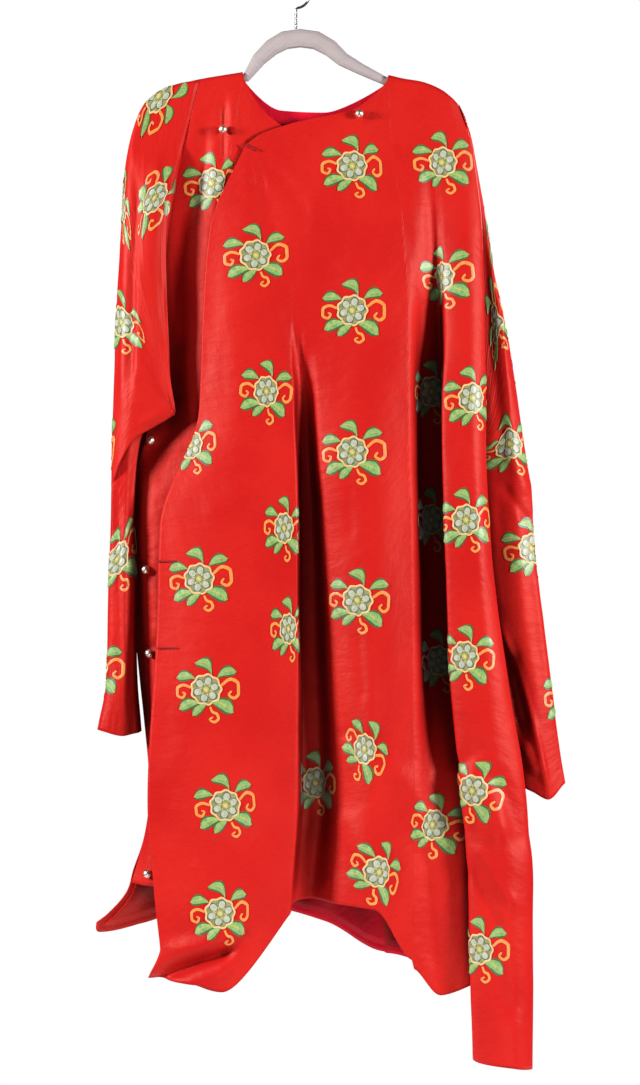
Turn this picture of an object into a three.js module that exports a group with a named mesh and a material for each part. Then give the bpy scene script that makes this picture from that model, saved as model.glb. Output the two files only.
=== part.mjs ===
// A changshan, the long Chinese robe that closes over to the wearer's right, on a clothes hanger.
// Millimetres, +Z up. The viewer of the front looks along +Y, so "out" is towards -Y.
// The origin is under the crown of the hook, where a rail holds it.

import * as THREE from "three";

// ---------------------------------------------------------------- driving sizes
const WALL = 1.4; // satin and lining together
const LINING_WALL = 1.0;
const LINING_TURN_UP = 0.2; // share of the lowest row by which the lining stops short of the hem
const SEAM_GAP = 0.3; // between pieces that meet
const RIDGE_RADIUS = 8; // how tightly the shoulders bend over the hanger
const TIP_RADIUS = 3; // and past the hanger's left end, which is here:
const TIP_START = 212;
const BUTTON_RADIUS = 6;
const CORD_RADIUS = 1.1;
const HOOK_WIRE_RADIUS = 1.8;
const HOOK_RADIUS = 17; // inside of the hook
const HOOK_TURN = 1.25 * Math.PI; // from the top of its stem round the crown to its end
const HANGER_TOP = -65; // top of the hanger's neck
const UNDERARM_Z = -600;
const ARMHOLE_TOP = { right: -134, left: 226 }; // place across of each armhole's highest point

// How finely the cloth is divided. Rows crowd together where it bends over the shoulder.
const BEND_ROWS = [0, 0.0009, 0.0032, 0.0072];
const PANEL_ROWS = { front: 31, under_front: 20, back: 23 };
const SLEEVE_ROWS = { right: 26, left: 24 };
// A sleeve's ring has nine points; these are the faces from each to the next, and from the underarm
// seam round the front to the sleeve's outer line.
const RING_CELLS = [2, 1, 2, 3, 2, 2, 3, 2, 1];
const CELLS_TO_OUTER = 10;
const EDGE_POINT = 0.35; // the point between a ring's corner and its middle
const EDGE_RETREAT = 0.014; // a panel stops short of its seam by this share of its edge's own fold

// Heights at which the folds below are given.
const HEIGHTS = [-230, -350, -480, -600, -760, -920, -1140, -1260, -1380];

// Shoulder line over the hanger: place across, and height.
const RIGHT_SHOULDER = { x: [-228, -218, -190, -165, -134, -74], z: [-196, -178, -153, -143, -136, -126] };
const LEFT_SHOULDER = { x: [129, 150, 174, 202, 223, 238], z: [-130, -135, -139, -150, -167, -190] };

// Side seams: place across, then how far out the front and the back edge lie.
const LEFT_SEAM = {
  x: [238, 243, 245, 246, 250, 264, 292, 300, 306],
  front: [2, 4, 2, 0, 2, 6, 10, 12, 14],
  back: [-12, -16, -12, -1, 1, 5, 9, 11, 13],
};
const RIGHT_SEAM = {
  x: [-158, -178, -192, -204, -238, -226, -206, -230, -360],
  front: [4, -1, -7, -7, -23, -23, -13, -13, -19],
  back: [-8, -13, -14, -10, -25.4, -25.4, -15.4, -15.4, -24],
};

// One row for each fold line, from the edge of the overlap to the left side seam. x and out are given
// at HEIGHTS; top is where the line starts, hem where it ends, cells the faces up to the next line.
const FRONT_FOLDS = [
  { fold: "overlap edge", top: [-71, -230, 14], hem: -1368, cells: 3,
    x: [-71, -121, -131, -136, -190, -195, -206, -197, -183],
    out: [14, 17, 19, 21, 28, 36, 50, 56, 60] },
  { fold: "right panel", top: [-46, -213, 15], hem: -1400, cells: 3,
    x: [-46, -65, -70, -72, -86, -91, -96, -98, -100],
    out: [15, 28, 36, 42, 50, 58, 68, 74, 78] },
  { fold: "panel crest", top: [-14, -202, 15], hem: -1296, cells: 1,
    x: [-8, -12, -8, -4, 1, 3, 1, -6, -14],
    out: [15, 28, 34, 42, 50, 54, 60, 64, 68] },
  { fold: "tuck", top: [0, -198, 15], hem: -1284, cells: 1,
    x: [4, -3, 0, 4, 6, 7, 7, 1, -6],
    out: [15, 28, 31, 20, 6, 4, 10, 16, 24] },
  { fold: "trough", top: [10, -196, 15], hem: -1281, cells: 1,
    x: [14, 12, 12, 14, 22, 26, 32, 22, 10],
    out: [15, 28, 31, 14, 0, -2, 0, 8, 18] },
  { fold: "rise", top: [28, -192, 15], hem: -1284, cells: 3,
    x: [30, 30, 30, 32, 40, 50, 58, 52, 46],
    out: [16, 29, 32, 34, 34, 32, 30, 36, 42] },
  { fold: "middle ridge", top: [80, -180, 14], hem: -1290, cells: 3,
    x: [84, 94, 98, 103, 108, 110, 112, 110, 108],
    out: [17, 34, 42, 48, 54, 56, 60, 62, 64] },
  { fold: "neck corner", top: [127, -139, 8.3], hem: -1360, cells: 1,
    x: [132, 147, 154, 153, 157, 159, 160, 160, 161],
    out: [17, 31, 37, 37, 41, 45, 51, 54, 57] },
  { fold: "fall", top: [130, -130, 8.3], hem: -1372, cells: 2,
    x: [135, 150, 157, 156, 160, 162, 163, 163, 164],
    out: [17, 30, 36, 36, 40, 44, 50, 53, 56] },
  { fold: "slope", top: [156, -136, 0], hem: -1410, cells: 2,
    x: [165, 174, 177, 177, 182, 186, 194, 198, 200],
    out: [17, 24, 12, 0, -2, 2, 34, 42, 46] },
  { fold: "under the lip", top: [176, -139, 0], hem: -1396, cells: 2,
    x: [188, 193, 201, 207, 210, 214, 233, 240, 243],
    out: [16, 16, -1, -12, -18, -16, 26, 36, 42] },
  { fold: "lip", top: [186, -142, 0], hem: -1494, cells: 2,
    x: [198, 208, 208, 204, 207, 211, 230, 238, 241],
    out: [16, 23, 28, 36, 42, 46, 52, 56, 60] },
  { fold: "side ridge", top: [208, -154, 0], hem: -1503, cells: 2,
    x: [226, 236, 240, 241, 248, 258, 280, 288, 294],
    out: [15, 30, 38, 44, 52, 58, 72, 79, 84] },
  { fold: "side edge", top: [227.4, -172.4, 0], hem: -1508, cells: 2,
    x: [246, 258, 263, 263, 269, 286, 318, 326, 326],
    out: [9, 18, 24, 26, 32, 38, 48, 53, 56] },
  { fold: "left seam", top: [226, -171, 0], hem: -1500, cells: 0, x: LEFT_SEAM.x, out: LEFT_SEAM.front },
];

const UNDER_FRONT_FOLDS = [
  { fold: "right seam", top: [-134, -136, 0], hem: -1262, cells: 2, x: RIGHT_SEAM.x, out: RIGHT_SEAM.front },
  { fold: "side", top: [-108, -131, 0], hem: -1264, cells: 2,
    x: [-134, -156, -166, -178, -196, -190, -188, -204, -216],
    out: [5, -3, -7, -6, 0, 4, 8, 8, 10] },
  { fold: "middle", top: [-76, -126, 8.3], hem: -1266, cells: 1,
    x: [-92, -112, -118, -122, -126, -126, -126, -126, -126],
    out: [10, 11, 11, 12, 15, 18, 24, 28, 32] },
  { fold: "neck corner", top: [-73, -135, 8.3], hem: -1266, cells: 2,
    x: [-89, -109, -115, -119, -123, -123, -123, -123, -123],
    out: [10, 11, 11, 12, 15, 18, 24, 28, 32] },
  { fold: "neck side", top: [-48, -178, 9], hem: -1266, cells: 2,
    x: [-52, -64, -72, -76, -80, -80, -80, -80, -80],
    out: [10, 12, 13, 14, 16, 18, 24, 28, 32] },
  { fold: "inner edge", top: [-12, -208, 9], hem: -1266, cells: 0,
    x: [-12, -22, -32, -38, -42, -42, -42, -42, -42],
    out: [9, 11, 12, 12, 14, 16, 20, 24, 28] },
];

const BACK_FOLDS = [
  { fold: "left seam", top: [226, -171, 0], hem: -1410, cells: 2, x: LEFT_SEAM.x, out: LEFT_SEAM.back },
  { fold: "left side", top: [208, -154, 0], hem: -1408, cells: 2,
    x: [222, 226, 229, 230, 236, 250, 274, 282, 290],
    out: [-16, -27, -31, -32, -36, -38, -40, -41, -42] },
  { fold: "left fold", top: [160, -134, 0], hem: -1400, cells: 2,
    x: [165, 172, 176, 178, 184, 192, 206, 214, 222],
    out: [-15, -34, -44, -50, -58, -64, -72, -80, -86] },
  { fold: "left trough", top: [130, -130, -8.7], hem: -1366, cells: 1,
    x: [112, 110, 110, 110, 114, 116, 120, 124, 128],
    out: [-15, -32, -38, -38, -40, -42, -42, -44, -46] },
  { fold: "left neck corner", top: [127, -139, -8.7], hem: -1364, cells: 2,
    x: [109, 107, 107, 107, 111, 113, 117, 121, 125],
    out: [-15, -32, -39, -39, -41, -43, -43, -45, -47] },
  { fold: "centre fold", top: [40, -180, -13], hem: -1328, cells: 2,
    x: [38, 38, 40, 40, 40, 42, 42, 44, 46],
    out: [-15, -36, -48, -54, -62, -68, -76, -82, -88] },
  { fold: "right trough", top: [-22, -177, -13], hem: -1300, cells: 2,
    x: [-28, -34, -36, -38, -42, -44, -46, -49, -52],
    out: [-15, -32, -36, -36, -38, -40, -40, -42, -44] },
  { fold: "right neck corner", top: [-73, -135, -8.3], hem: -1308, cells: 1,
    x: [-83, -103, -113, -119, -125, -129, -135, -142, -149],
    out: [-15, -30, -42, -48, -54, -60, -68, -75, -80] },
  { fold: "right fold", top: [-76, -126, -8.3], hem: -1308, cells: 2,
    x: [-86, -106, -116, -122, -128, -132, -138, -145, -152],
    out: [-15, -30, -42, -48, -54, -60, -68, -75, -80] },
  { fold: "right side", top: [-108, -131, 0], hem: -1324, cells: 2,
    x: [-132, -166, -180, -190, -204, -198, -194, -208, -240],
    out: [-14, -22, -25, -24, -34, -36, -36, -40, -46] },
  { fold: "rounded corner", top: [-125, -134, 0], hem: -1333, cells: 1,
    x: [-151, -173, -187, -212, -234, -217, -201, -222, -322],
    out: [-10, -15, -18, -21, -33, -30, -23, -23, -30] },
  { fold: "right seam", top: [-134, -136, 0], hem: -1318, cells: 0, x: RIGHT_SEAM.x, out: RIGHT_SEAM.back },
];

// How far each sleeve's edge stands off the body's, aside and out. Walls that meet at an angle
// stand further off, so that their corners keep SEAM_GAP.
const RIGHT_ARMHOLE_GAPS = {
  front: { shoulder: [-0.8, 0], underarm: [-2.2, 0] },
  back: { shoulder: [-0.8, 0], underarm: [-2.2, 0] },
};
const LEFT_ARMHOLE_GAPS = {
  front: { shoulder: [1.8, -2.4], underarm: [1.4, -2] },
  back: { shoulder: [1.4, -1.4], underarm: [1.8, 0] },
};

// One row for each ring of a sleeve, from the armhole's fold to the cuff: [x, z, out] at the underarm
// seam, at the front corner, mid-front, on the sleeve's outer line and in the middle of the back.
const RIGHT_SLEEVE_RINGS = [
  { ring: "fold", inner: [-208, -592, -4], corner: [-174, -588, 26],
    middle: [-181, -374, 26], outer: [-144, -138, 0], back: [-192, -374, -18] },
  { ring: "cap", inner: [-209, -594, -4], corner: [-171, -596, 28],
    middle: [-190, -381, 30], outer: [-174, -146, 0], back: [-202, -385, -24] },
  { ring: "shoulder", inner: [-210, -597, -4], corner: [-168, -601, 29],
    middle: [-204, -391, 32], outer: [-212, -172, 0], back: [-213, -395, -27] },
  { ring: "upper arm", inner: [-211, -600, -4], corner: [-168, -603, 29],
    middle: [-214, -409, 32], outer: [-237, -255, 0], back: [-222, -425, -27] },
  { ring: "arm", inner: [-212, -604, -4], corner: [-168, -605, 28],
    middle: [-218, -444, 30], outer: [-246, -388, 0], back: [-227, -480, -26] },
  { ring: "lower arm", inner: [-213, -608, -4], corner: [-170, -607, 27],
    middle: [-219, -514, 28], outer: [-253, -514, 0], back: [-232, -550, -24] },
  { ring: "above the lip", inner: [-214, -614, -4], corner: [-176, -610, 25],
    middle: [-222, -577, 26], outer: [-256, -612, 0], back: [-235, -610, -22] },
  { ring: "lip", inner: [-217, -630, -5], corner: [-190, -617, 20],
    middle: [-226, -640, 22], outer: [-258, -703, 0], back: [-238, -665, -20] },
  { ring: "behind the lip", inner: [-218, -640, -5], corner: [-208, -606, 8],
    middle: [-231, -628, 9], outer: [-258, -708, -1], back: [-239, -675, -20] },
  { ring: "below the lip", inner: [-225, -684, -6], corner: [-224, -688, 0],
    middle: [-237, -712, 10], outer: [-259, -752, 0], back: [-242, -716, -18] },
  { ring: "elbow", inner: [-225, -770, -7], corner: [-227, -772, 0],
    middle: [-239, -790, 14], outer: [-260, -808, 0], back: [-243, -790, -16] },
  { ring: "forearm", inner: [-224, -868, -7], corner: [-227, -868, 2],
    middle: [-240, -868, 14], outer: [-263, -868, 0], back: [-244, -868, -16] },
  { ring: "wrist", inner: [-223, -976, -6], corner: [-226, -976, 4],
    middle: [-240, -976, 14], outer: [-266, -976, 0], back: [-245, -976, -16] },
  { ring: "cuff", inner: [-217, -1048, -5], corner: [-221, -1050, 6],
    middle: [-242, -1054, 13], outer: [-277, -1046, 0], back: [-247, -1050, -14] },
];
const LEFT_SLEEVE_RINGS = [
  { ring: "fold", inner: [250, -604, -4], corner: [250, -575, -3],
    middle: [250, -390, -2], outer: [236, -187, -2], back: [249, -390, -20] },
  { ring: "cap", inner: [251, -606, -4], corner: [255, -580, -4],
    middle: [258, -395, -3], outer: [246, -220, -6], back: [256, -395, -24] },
  { ring: "upper arm", inner: [252, -609, -4], corner: [259, -588, -4],
    middle: [268, -408, -2], outer: [260, -300, -9], back: [262, -430, -27] },
  { ring: "arm", inner: [253, -614, -4], corner: [264, -602, -3],
    middle: [281, -445, 0], outer: [282, -425, -9], back: [270, -500, -28] },
  { ring: "lower arm", inner: [253, -624, -4], corner: [267, -620, -2],
    middle: [292, -520, 2], outer: [302, -530, -8], back: [280, -570, -27] },
  { ring: "elbow", inner: [254, -656, -5], corner: [269, -656, -1],
    middle: [300, -640, 4], outer: [320, -645, -8], back: [290, -650, -26] },
  { ring: "below the elbow", inner: [256, -730, -6], corner: [272, -730, 0],
    middle: [305, -730, 5], outer: [331, -730, -8], back: [294, -730, -25] },
  { ring: "forearm", inner: [262, -830, -7], corner: [276, -830, -1],
    middle: [311, -830, 7], outer: [338, -830, -8], back: [300, -830, -24] },
  { ring: "wrist", inner: [276, -930, -8], corner: [289, -930, -1],
    middle: [320, -930, 9], outer: [350, -930, -7], back: [312, -930, -23] },
  { ring: "above the cuff", inner: [292, -1040, -8], corner: [303, -1040, 0],
    middle: [336, -1046, 10], outer: [365, -1040, -6], back: [328, -1040, -21] },
  { ring: "cuff", inner: [312, -1121, -7], corner: [321, -1128, 2],
    middle: [352, -1143, 9], outer: [377, -1121, -5], back: [344, -1124, -19] },
];

// How tightly each sleeve bends at its outer line: along the cloth, and out.
const RIGHT_BEND = [6.5, 8.5];
const LEFT_BEND = [4, 4];

// Hanger: place across, centre height, half height and half thickness of each section.
const HANGER_NECK = [
  { x: -52, z: -108, tall: 10, thick: 6 },
  { x: -34, z: -91, tall: 12, thick: 7 },
  { x: -16, z: -81, tall: 13, thick: 8 },
  { x: 6, z: -78, tall: 13, thick: 8 },
  { x: 28, z: -81, tall: 13, thick: 8 },
  { x: 48, z: -92, tall: 12, thick: 7 },
  { x: 66, z: -108, tall: 10, thick: 6 },
  { x: 90, z: -121, tall: 8, thick: 6 },
];
// Its arms run from the neck to the tips under the shoulder line, drooping a little away from it.
const HANGER_ARM = { tall: 6, thick: 4.4, droop: 3, right: [-70, -192], left: [124, 202], sections: 8 };
const HANGER_TIP = { share: 0.5, length: 4 }; // the rounded end: its size beside the arm's, and its length

// Buttons: the panel they sit on, the place across and the height.
const BUTTONS = [
  { name: "neck", panel: "front", x: 88, z: -187 },
  { name: "chest", panel: "under_front", x: -101, z: -208 },
  { name: "underarm", panel: "under_front", x: -203, z: -641 },
  { name: "waist", panel: "under_front", x: -207, z: -822 },
  { name: "hip", panel: "under_front", x: -201, z: -939 },
  { name: "vent", panel: "under_front", x: -204, z: -1246 },
];
// Loops: cords sewn on the front, from the first place to the button.
const LOOPS = [
  { name: "chest", x: [-52, -70], z: [-238, -229] },
  { name: "waist", x: [-165, -197], z: [-810, -810] },
  { name: "hip", x: [-162, -192], z: [-930, -930] },
];

const LOOP_PLACES = [0, 0.25, 0.5, 0.75, 1]; // along a loop, where it follows the cloth

// ---------------------------------------------------------------- cloth curves
const mix = (a, b, t) => a + (b - a) * t;
const clamp = (value, low, high) => Math.min(Math.max(value, low), high);

// A smooth curve through values at knots that never overshoots them; it runs on straight past its ends.
function spline(knots, values, at) {
  const last = knots.length - 1;
  const slope = (k) => (values[k + 1] - values[k]) / (knots[k + 1] - knots[k]);
  const tangent = (k) => {
    if (k === 0) return slope(0);
    if (k === last) return slope(last - 1);
    const [before, after] = [slope(k - 1), slope(k)];
    if (before * after <= 0) return 0;
    const wideBefore = Math.abs(knots[k] - knots[k - 1]);
    const wideAfter = Math.abs(knots[k + 1] - knots[k]);
    const [share, rest] = [2 * wideAfter + wideBefore, wideAfter + 2 * wideBefore];
    return (share + rest) / (share / before + rest / after);
  };
  const forward = knots[last] > knots[0] ? 1 : -1;
  if ((at - knots[0]) * forward <= 0) return values[0] + tangent(0) * (at - knots[0]);
  if ((at - knots[last]) * forward >= 0) return values[last] + tangent(last) * (at - knots[last]);
  let k = 0;
  while ((at - knots[k + 1]) * forward > 0) k += 1;
  const span = knots[k + 1] - knots[k];
  const t = (at - knots[k]) / span;
  const t2 = t * t;
  const t3 = t2 * t;
  return (
    values[k] * (2 * t3 - 3 * t2 + 1) +
    tangent(k) * span * (t3 - 2 * t2 + t) +
    values[k + 1] * (3 * t2 - 2 * t3) +
    tangent(k + 1) * span * (t3 - t2)
  );
}

// Distances along a chain of points, for use as knots.
function chain(points) {
  const knots = [0];
  for (let k = 1; k < points.length; k += 1) {
    const step = Math.hypot(...points[k].map((value, axis) => value - points[k - 1][axis]));
    knots.push(knots[k - 1] + Math.max(step, 0.5));
  }
  return knots;
}

const shoulderAt = (x) => {
  const line = x < 0 ? RIGHT_SHOULDER : LEFT_SHOULDER;
  return spline(line.x, line.z, clamp(x, line.x[0], line.x[line.x.length - 1]));
};

// The place [x, out] of fold number u, whole or between two folds, at height z.
function sectionAt(folds, u, z) {
  const points = folds.map((row) => [spline(HEIGHTS, row.x, z), spline(HEIGHTS, row.out, z)]);
  const knots = chain(points);
  const k = Math.min(Math.floor(u), folds.length - 2);
  const at = mix(knots[k], knots[k + 1], u - k);
  return [0, 1].map((axis) => spline(knots, points.map((point) => point[axis]), at));
}

const isOnShoulder = (x) =>
  [RIGHT_SHOULDER, LEFT_SHOULDER].some((line) => x >= line.x[0] && x <= line.x.at(-1));
const ridgeRadiusAt = (x) =>
  mix(RIDGE_RADIUS, TIP_RADIUS, clamp((x - TIP_START) / (ARMHOLE_TOP.left - TIP_START), 0, 1));
// Where fold number u starts, as [x, z, out], and the height of its hem.
function endsAt(folds, u) {
  const numbers = folds.map((row, k) => k);
  const top = [0, 1, 2].map((axis) => spline(numbers, folds.map((row) => row.top[axis]), u));
  const hem = spline(numbers, folds.map((row) => row.hem), u);
  const onShoulder = isOnShoulder(top[0]);
  if (onShoulder) top[1] = shoulderAt(top[0]);
  return { top, hem, onShoulder };
}

// A panel's point: u counts folds across, v runs from the top edge, 0, to the hem, 1.
// Between the neck and the arm the top edge bends over the hanger.
function panelPoint(folds, side, u, v) {
  const { top, hem, onShoulder } = endsAt(folds, u);
  const z = mix(top[1], hem, v);
  if (z <= HEIGHTS[0]) {
    const [x, out] = sectionAt(folds, u, z);
    return new THREE.Vector3(x, -out, z);
  }
  const [x, out] = sectionAt(folds, u, HEIGHTS[0]);
  const rise = clamp((z - HEIGHTS[0]) / (top[1] - HEIGHTS[0]), 0, 1);
  const radius = ridgeRadiusAt(top[0]);
  const below = clamp((top[1] - z) / radius, 0, 1);
  const bend = side * (radius * Math.sqrt(1 - (1 - below) ** 2) + SEAM_GAP);
  const settled = mix(onShoulder ? bend : top[2], out, (1 - rise) ** 1.5);
  return new THREE.Vector3(mix(x, top[0], rise), -settled, z);
}

function rowPlaces(rows) {
  const bend = BEND_ROWS.at(-1);
  const even = Array.from({ length: rows }, (unused, k) => mix(bend, 1, (k + 1) / rows));
  return [...BEND_ROWS, ...even];
}

function panelGrid(folds, side, rows) {
  const across = [];
  folds.slice(0, -1).forEach((row, k) => {
    for (let cell = 0; cell < row.cells; cell += 1) across.push(k + cell / row.cells);
  });
  across.push(folds.length - 1);
  across[0] = EDGE_RETREAT;
  across[across.length - 1] -= EDGE_RETREAT;
  const down = rowPlaces(rows);
  return down.map((v) => across.map((u) => panelPoint(folds, side, u, v)));
}

// ---------------------------------------------------------------- walls
// A closed wall of even thickness about a grid of points; its rows join up round a tube.
function clothWall(grid, thickness, isTube = false, shift = 0) {
  const rows = grid.length;
  const columns = grid[0].length;
  const around = (c) => (isTube ? (c + columns) % columns : clamp(c, 0, columns - 1));
  const normal = (r, c) => {
    const across = grid[r][around(c + 1)].clone().sub(grid[r][around(c - 1)]);
    const down = grid[Math.min(r + 1, rows - 1)][c].clone().sub(grid[Math.max(r - 1, 0)][c]);
    return down.cross(across).normalize();
  };
  const positions = [];
  for (const side of [0.5, -0.5]) {
    for (let r = 0; r < rows; r += 1) {
      for (let c = 0; c < columns; c += 1) {
        const point = grid[r][c].clone().addScaledVector(normal(r, c), shift + side * thickness);
        positions.push(point.x, point.y, point.z);
      }
    }
  }
  const sheet = rows * columns;
  const cellColumns = isTube ? columns : columns - 1;
  const index = [];
  const quad = (a, b, c, d) => index.push(a, b, c, a, c, d);
  for (let r = 0; r < rows - 1; r += 1) {
    for (let c = 0; c < cellColumns; c += 1) {
      const [a, b] = [r * columns + c, r * columns + around(c + 1)];
      const [d, e] = [a + columns, b + columns];
      quad(a, d, e, b);
      quad(a + sheet, b + sheet, e + sheet, d + sheet);
    }
  }
  for (let c = 0; c < cellColumns; c += 1) {
    const [a, b] = [c, around(c + 1)];
    const [d, e] = [a + (rows - 1) * columns, b + (rows - 1) * columns];
    quad(a, b, b + sheet, a + sheet);
    quad(d, d + sheet, e + sheet, e);
  }
  if (!isTube) {
    for (let r = 0; r < rows - 1; r += 1) {
      const [a, d] = [r * columns, (r + 1) * columns];
      const [b, e] = [a + columns - 1, d + columns - 1];
      quad(a, a + sheet, d + sheet, d);
      quad(b, e, e + sheet, b + sheet);
    }
  }
  const geometry = new THREE.BufferGeometry();
  geometry.setAttribute("position", new THREE.Float32BufferAttribute(positions, 3));
  geometry.setIndex(index);
  return geometry;
}

// ---------------------------------------------------------------- sleeves
// The nine points that a ring runs through, from the underarm round the front to the back.
function ringPoints({ inner, corner, middle, outer, back }, [along, deep]) {
  const toward = (from, to, side) => {
    const reach = Math.hypot(to[0] - from[0], to[1] - from[1]);
    const [x, z] = [0, 1].map((axis) => mix(from[axis], to[axis], along / reach));
    return [x, z, from[2] + side * deep];
  };
  const edge = corner.map((value, axis) => mix(value, middle[axis], EDGE_POINT));
  const [front, behind] = [toward(outer, middle, 1), toward(outer, back, -1)];
  return [inner, corner, edge, middle, front, outer, behind, back, toward(inner, back, -1)];
}

function sampleRing(points) {
  const loop = [...points, points[0]];
  const padded = [points.at(-1), ...loop, points[1]];
  const knots = chain(padded);
  const samples = [];
  RING_CELLS.forEach((cells, k) => {
    for (let cell = 0; cell < cells; cell += 1) {
      const at = mix(knots[k + 1], knots[k + 2], cell / cells);
      const [x, z, out] = [0, 1, 2].map((axis) => spline(knots, padded.map((point) => point[axis]), at));
      samples.push(new THREE.Vector3(x, -out, z));
    }
  });
  return samples;
}

// The armhole's own ring lies on the side edges of the body, level with the points of the next ring.
function armholeRing(next, seam, shoulder, gaps) {
  const [low, high] = [next[0].z, next[CELLS_TO_OUTER].z];
  return next.map((point, k) => {
    const isFront = k <= CELLS_TO_OUTER;
    const rise = clamp((point.z - low) / (high - low), 0, 1);
    const z = mix(UNDERARM_Z, shoulder[1], rise);
    const edge = isFront ? seam.front : seam.back;
    const gap = isFront ? gaps.front : gaps.back;
    const level = Math.min(z, HEIGHTS[0]);
    const above = clamp((z - HEIGHTS[0]) / (shoulder[1] - HEIGHTS[0]), 0, 1);
    const x = mix(spline(HEIGHTS, seam.x, level), shoulder[0], above);
    const sign = isFront ? 1 : -1;
    const radius = ridgeRadiusAt(shoulder[0]);
    const bend = clamp((shoulder[1] - z) / radius, 0, 1);
    const ridge = sign * radius * Math.sqrt(1 - (1 - bend) ** 2);
    const out = mix(spline(HEIGHTS, edge, level), ridge, above);
    const [aside, forward] = [0, 1].map((axis) => mix(gap.underarm[axis], gap.shoulder[axis], rise));
    return new THREE.Vector3(x + aside, -(out + forward), z);
  });
}

function sleeveGrid({ rings, bend, seam, top, gaps, rows }) {
  const controls = rings.map((row) => ringPoints(row, bend));
  const numbers = rings.map((row, k) => k);
  const grid = [];
  const last = rings.length - 1;
  for (let row = 0; row <= rows; row += 1) {
    const at = (last * row) / rows;
    const points = controls[0].map((unused, p) =>
      [0, 1, 2].map((axis) => spline(numbers, controls.map((ring) => ring[p][axis]), at)),
    );
    grid.push(sampleRing(points));
  }
  grid.unshift(armholeRing(grid[0], seam, [top, shoulderAt(top)], gaps));
  if (top > 0) grid.forEach((ring) => ring.reverse());
  return grid;
}

// ---------------------------------------------------------------- hard pieces
function loftedBar(sections, sides) {
  const grid = sections.map(({ x, z, tall, thick }, k) => {
    const before = sections[Math.max(k - 1, 0)];
    const after = sections[Math.min(k + 1, sections.length - 1)];
    const run = new THREE.Vector2(after.x - before.x, after.z - before.z).normalize();
    return Array.from({ length: sides }, (unused, side) => {
      const angle = (2 * Math.PI * side) / sides;
      const up = tall * Math.sin(angle);
      return new THREE.Vector3(x - run.y * up, thick * Math.cos(angle), z + run.x * up);
    });
  });
  const positions = grid.flat().flatMap((point) => [point.x, point.y, point.z]);
  const index = [];
  for (let r = 0; r < grid.length - 1; r += 1) {
    for (let c = 0; c < sides; c += 1) {
      const [a, b] = [r * sides + c, r * sides + ((c + 1) % sides)];
      index.push(a, b, b + sides, a, b + sides, a + sides);
    }
  }
  for (let c = 1; c < sides - 1; c += 1) {
    index.push(0, c + 1, c);
    const end = (grid.length - 1) * sides;
    index.push(end, end + c, end + c + 1);
  }
  const geometry = new THREE.BufferGeometry();
  geometry.setAttribute("position", new THREE.Float32BufferAttribute(positions, 3));
  geometry.setIndex(index);
  return geometry;
}

function hangerSections() {
  const under = WALL / 2 + 3 * SEAM_GAP;
  const arm = ([neck, tip]) =>
    Array.from({ length: HANGER_ARM.sections + 1 }, (unused, k) => {
      const { tall, thick, droop, sections } = HANGER_ARM;
      const along = k / sections;
      const x = mix(neck, tip, along);
      return { x, z: shoulderAt(x) - under - tall - droop * along ** 2, tall, thick };
    });
  const stations = [...arm(HANGER_ARM.right).reverse(), ...HANGER_NECK, ...arm(HANGER_ARM.left)];
  const { share, length } = HANGER_TIP;
  const tip = ({ x, z, tall, thick }, along) =>
    ({ x: x + along, z, tall: tall * share, thick: thick * share });
  return [tip(stations[0], -length), ...stations, tip(stations.at(-1), length)];
}

// The hook: a straight stem out of the hanger's neck, then three quarters of a turn.
class HookLine extends THREE.Curve {
  getPoint(t) {
    const bend = HOOK_RADIUS + HOOK_WIRE_RADIUS;
    const centre = new THREE.Vector3(0, 0, -HOOK_RADIUS);
    const stem = Math.abs(HANGER_TOP + SEAM_GAP - (centre.z - bend));
    const arc = bend * HOOK_TURN;
    const along = t * (stem + arc);
    if (along < stem) return new THREE.Vector3(0, 0, HANGER_TOP + SEAM_GAP + along);
    const angle = -Math.PI / 2 + (along - stem) / bend;
    return new THREE.Vector3(centre.x + bend * Math.cos(angle), 0, centre.z + bend * Math.sin(angle));
  }
}

function roundCord(curve, radius, sides, steps) {
  const shape = new THREE.Shape();
  for (let side = 0; side < sides; side += 1) {
    const angle = (2 * Math.PI * side) / sides;
    const place = [radius * Math.cos(angle), radius * Math.sin(angle)];
    if (side === 0) shape.moveTo(...place);
    else shape.lineTo(...place);
  }
  shape.closePath();
  return new THREE.ExtrudeGeometry(shape, { steps, extrudePath: curve, bevelEnabled: false });
}

// ---------------------------------------------------------------- the garment
const satin = new THREE.MeshStandardMaterial({ color: 0xc81818, roughness: 0.42 });
const lining = new THREE.MeshStandardMaterial({ color: 0xb01c4c, roughness: 0.5 });
const metal = new THREE.MeshStandardMaterial({ color: 0xd8c8a8, roughness: 0.3, metalness: 1 });
const cord = new THREE.MeshStandardMaterial({ color: 0x7c1014, roughness: 0.7 });
const hangerPlastic = new THREE.MeshStandardMaterial({ color: 0xb8a5a5, roughness: 0.5 });
const chrome = new THREE.MeshStandardMaterial({ color: 0xd0d0d4, roughness: 0.15, metalness: 1 });

const part = new THREE.Group();
function add(name, geometry, material) {
  const mesh = new THREE.Mesh(geometry, material.clone());
  mesh.name = name;
  part.add(mesh);
  return mesh;
}

const PANELS = {
  front: { folds: FRONT_FOLDS, side: 1, rows: PANEL_ROWS.front },
  under_front: { folds: UNDER_FRONT_FOLDS, side: 1, rows: PANEL_ROWS.under_front },
  back: { folds: BACK_FOLDS, side: -1, rows: PANEL_ROWS.back },
};
for (const [name, { folds, side, rows }] of Object.entries(PANELS)) {
  add(name, clothWall(panelGrid(folds, side, rows), WALL), satin);
}

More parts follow.
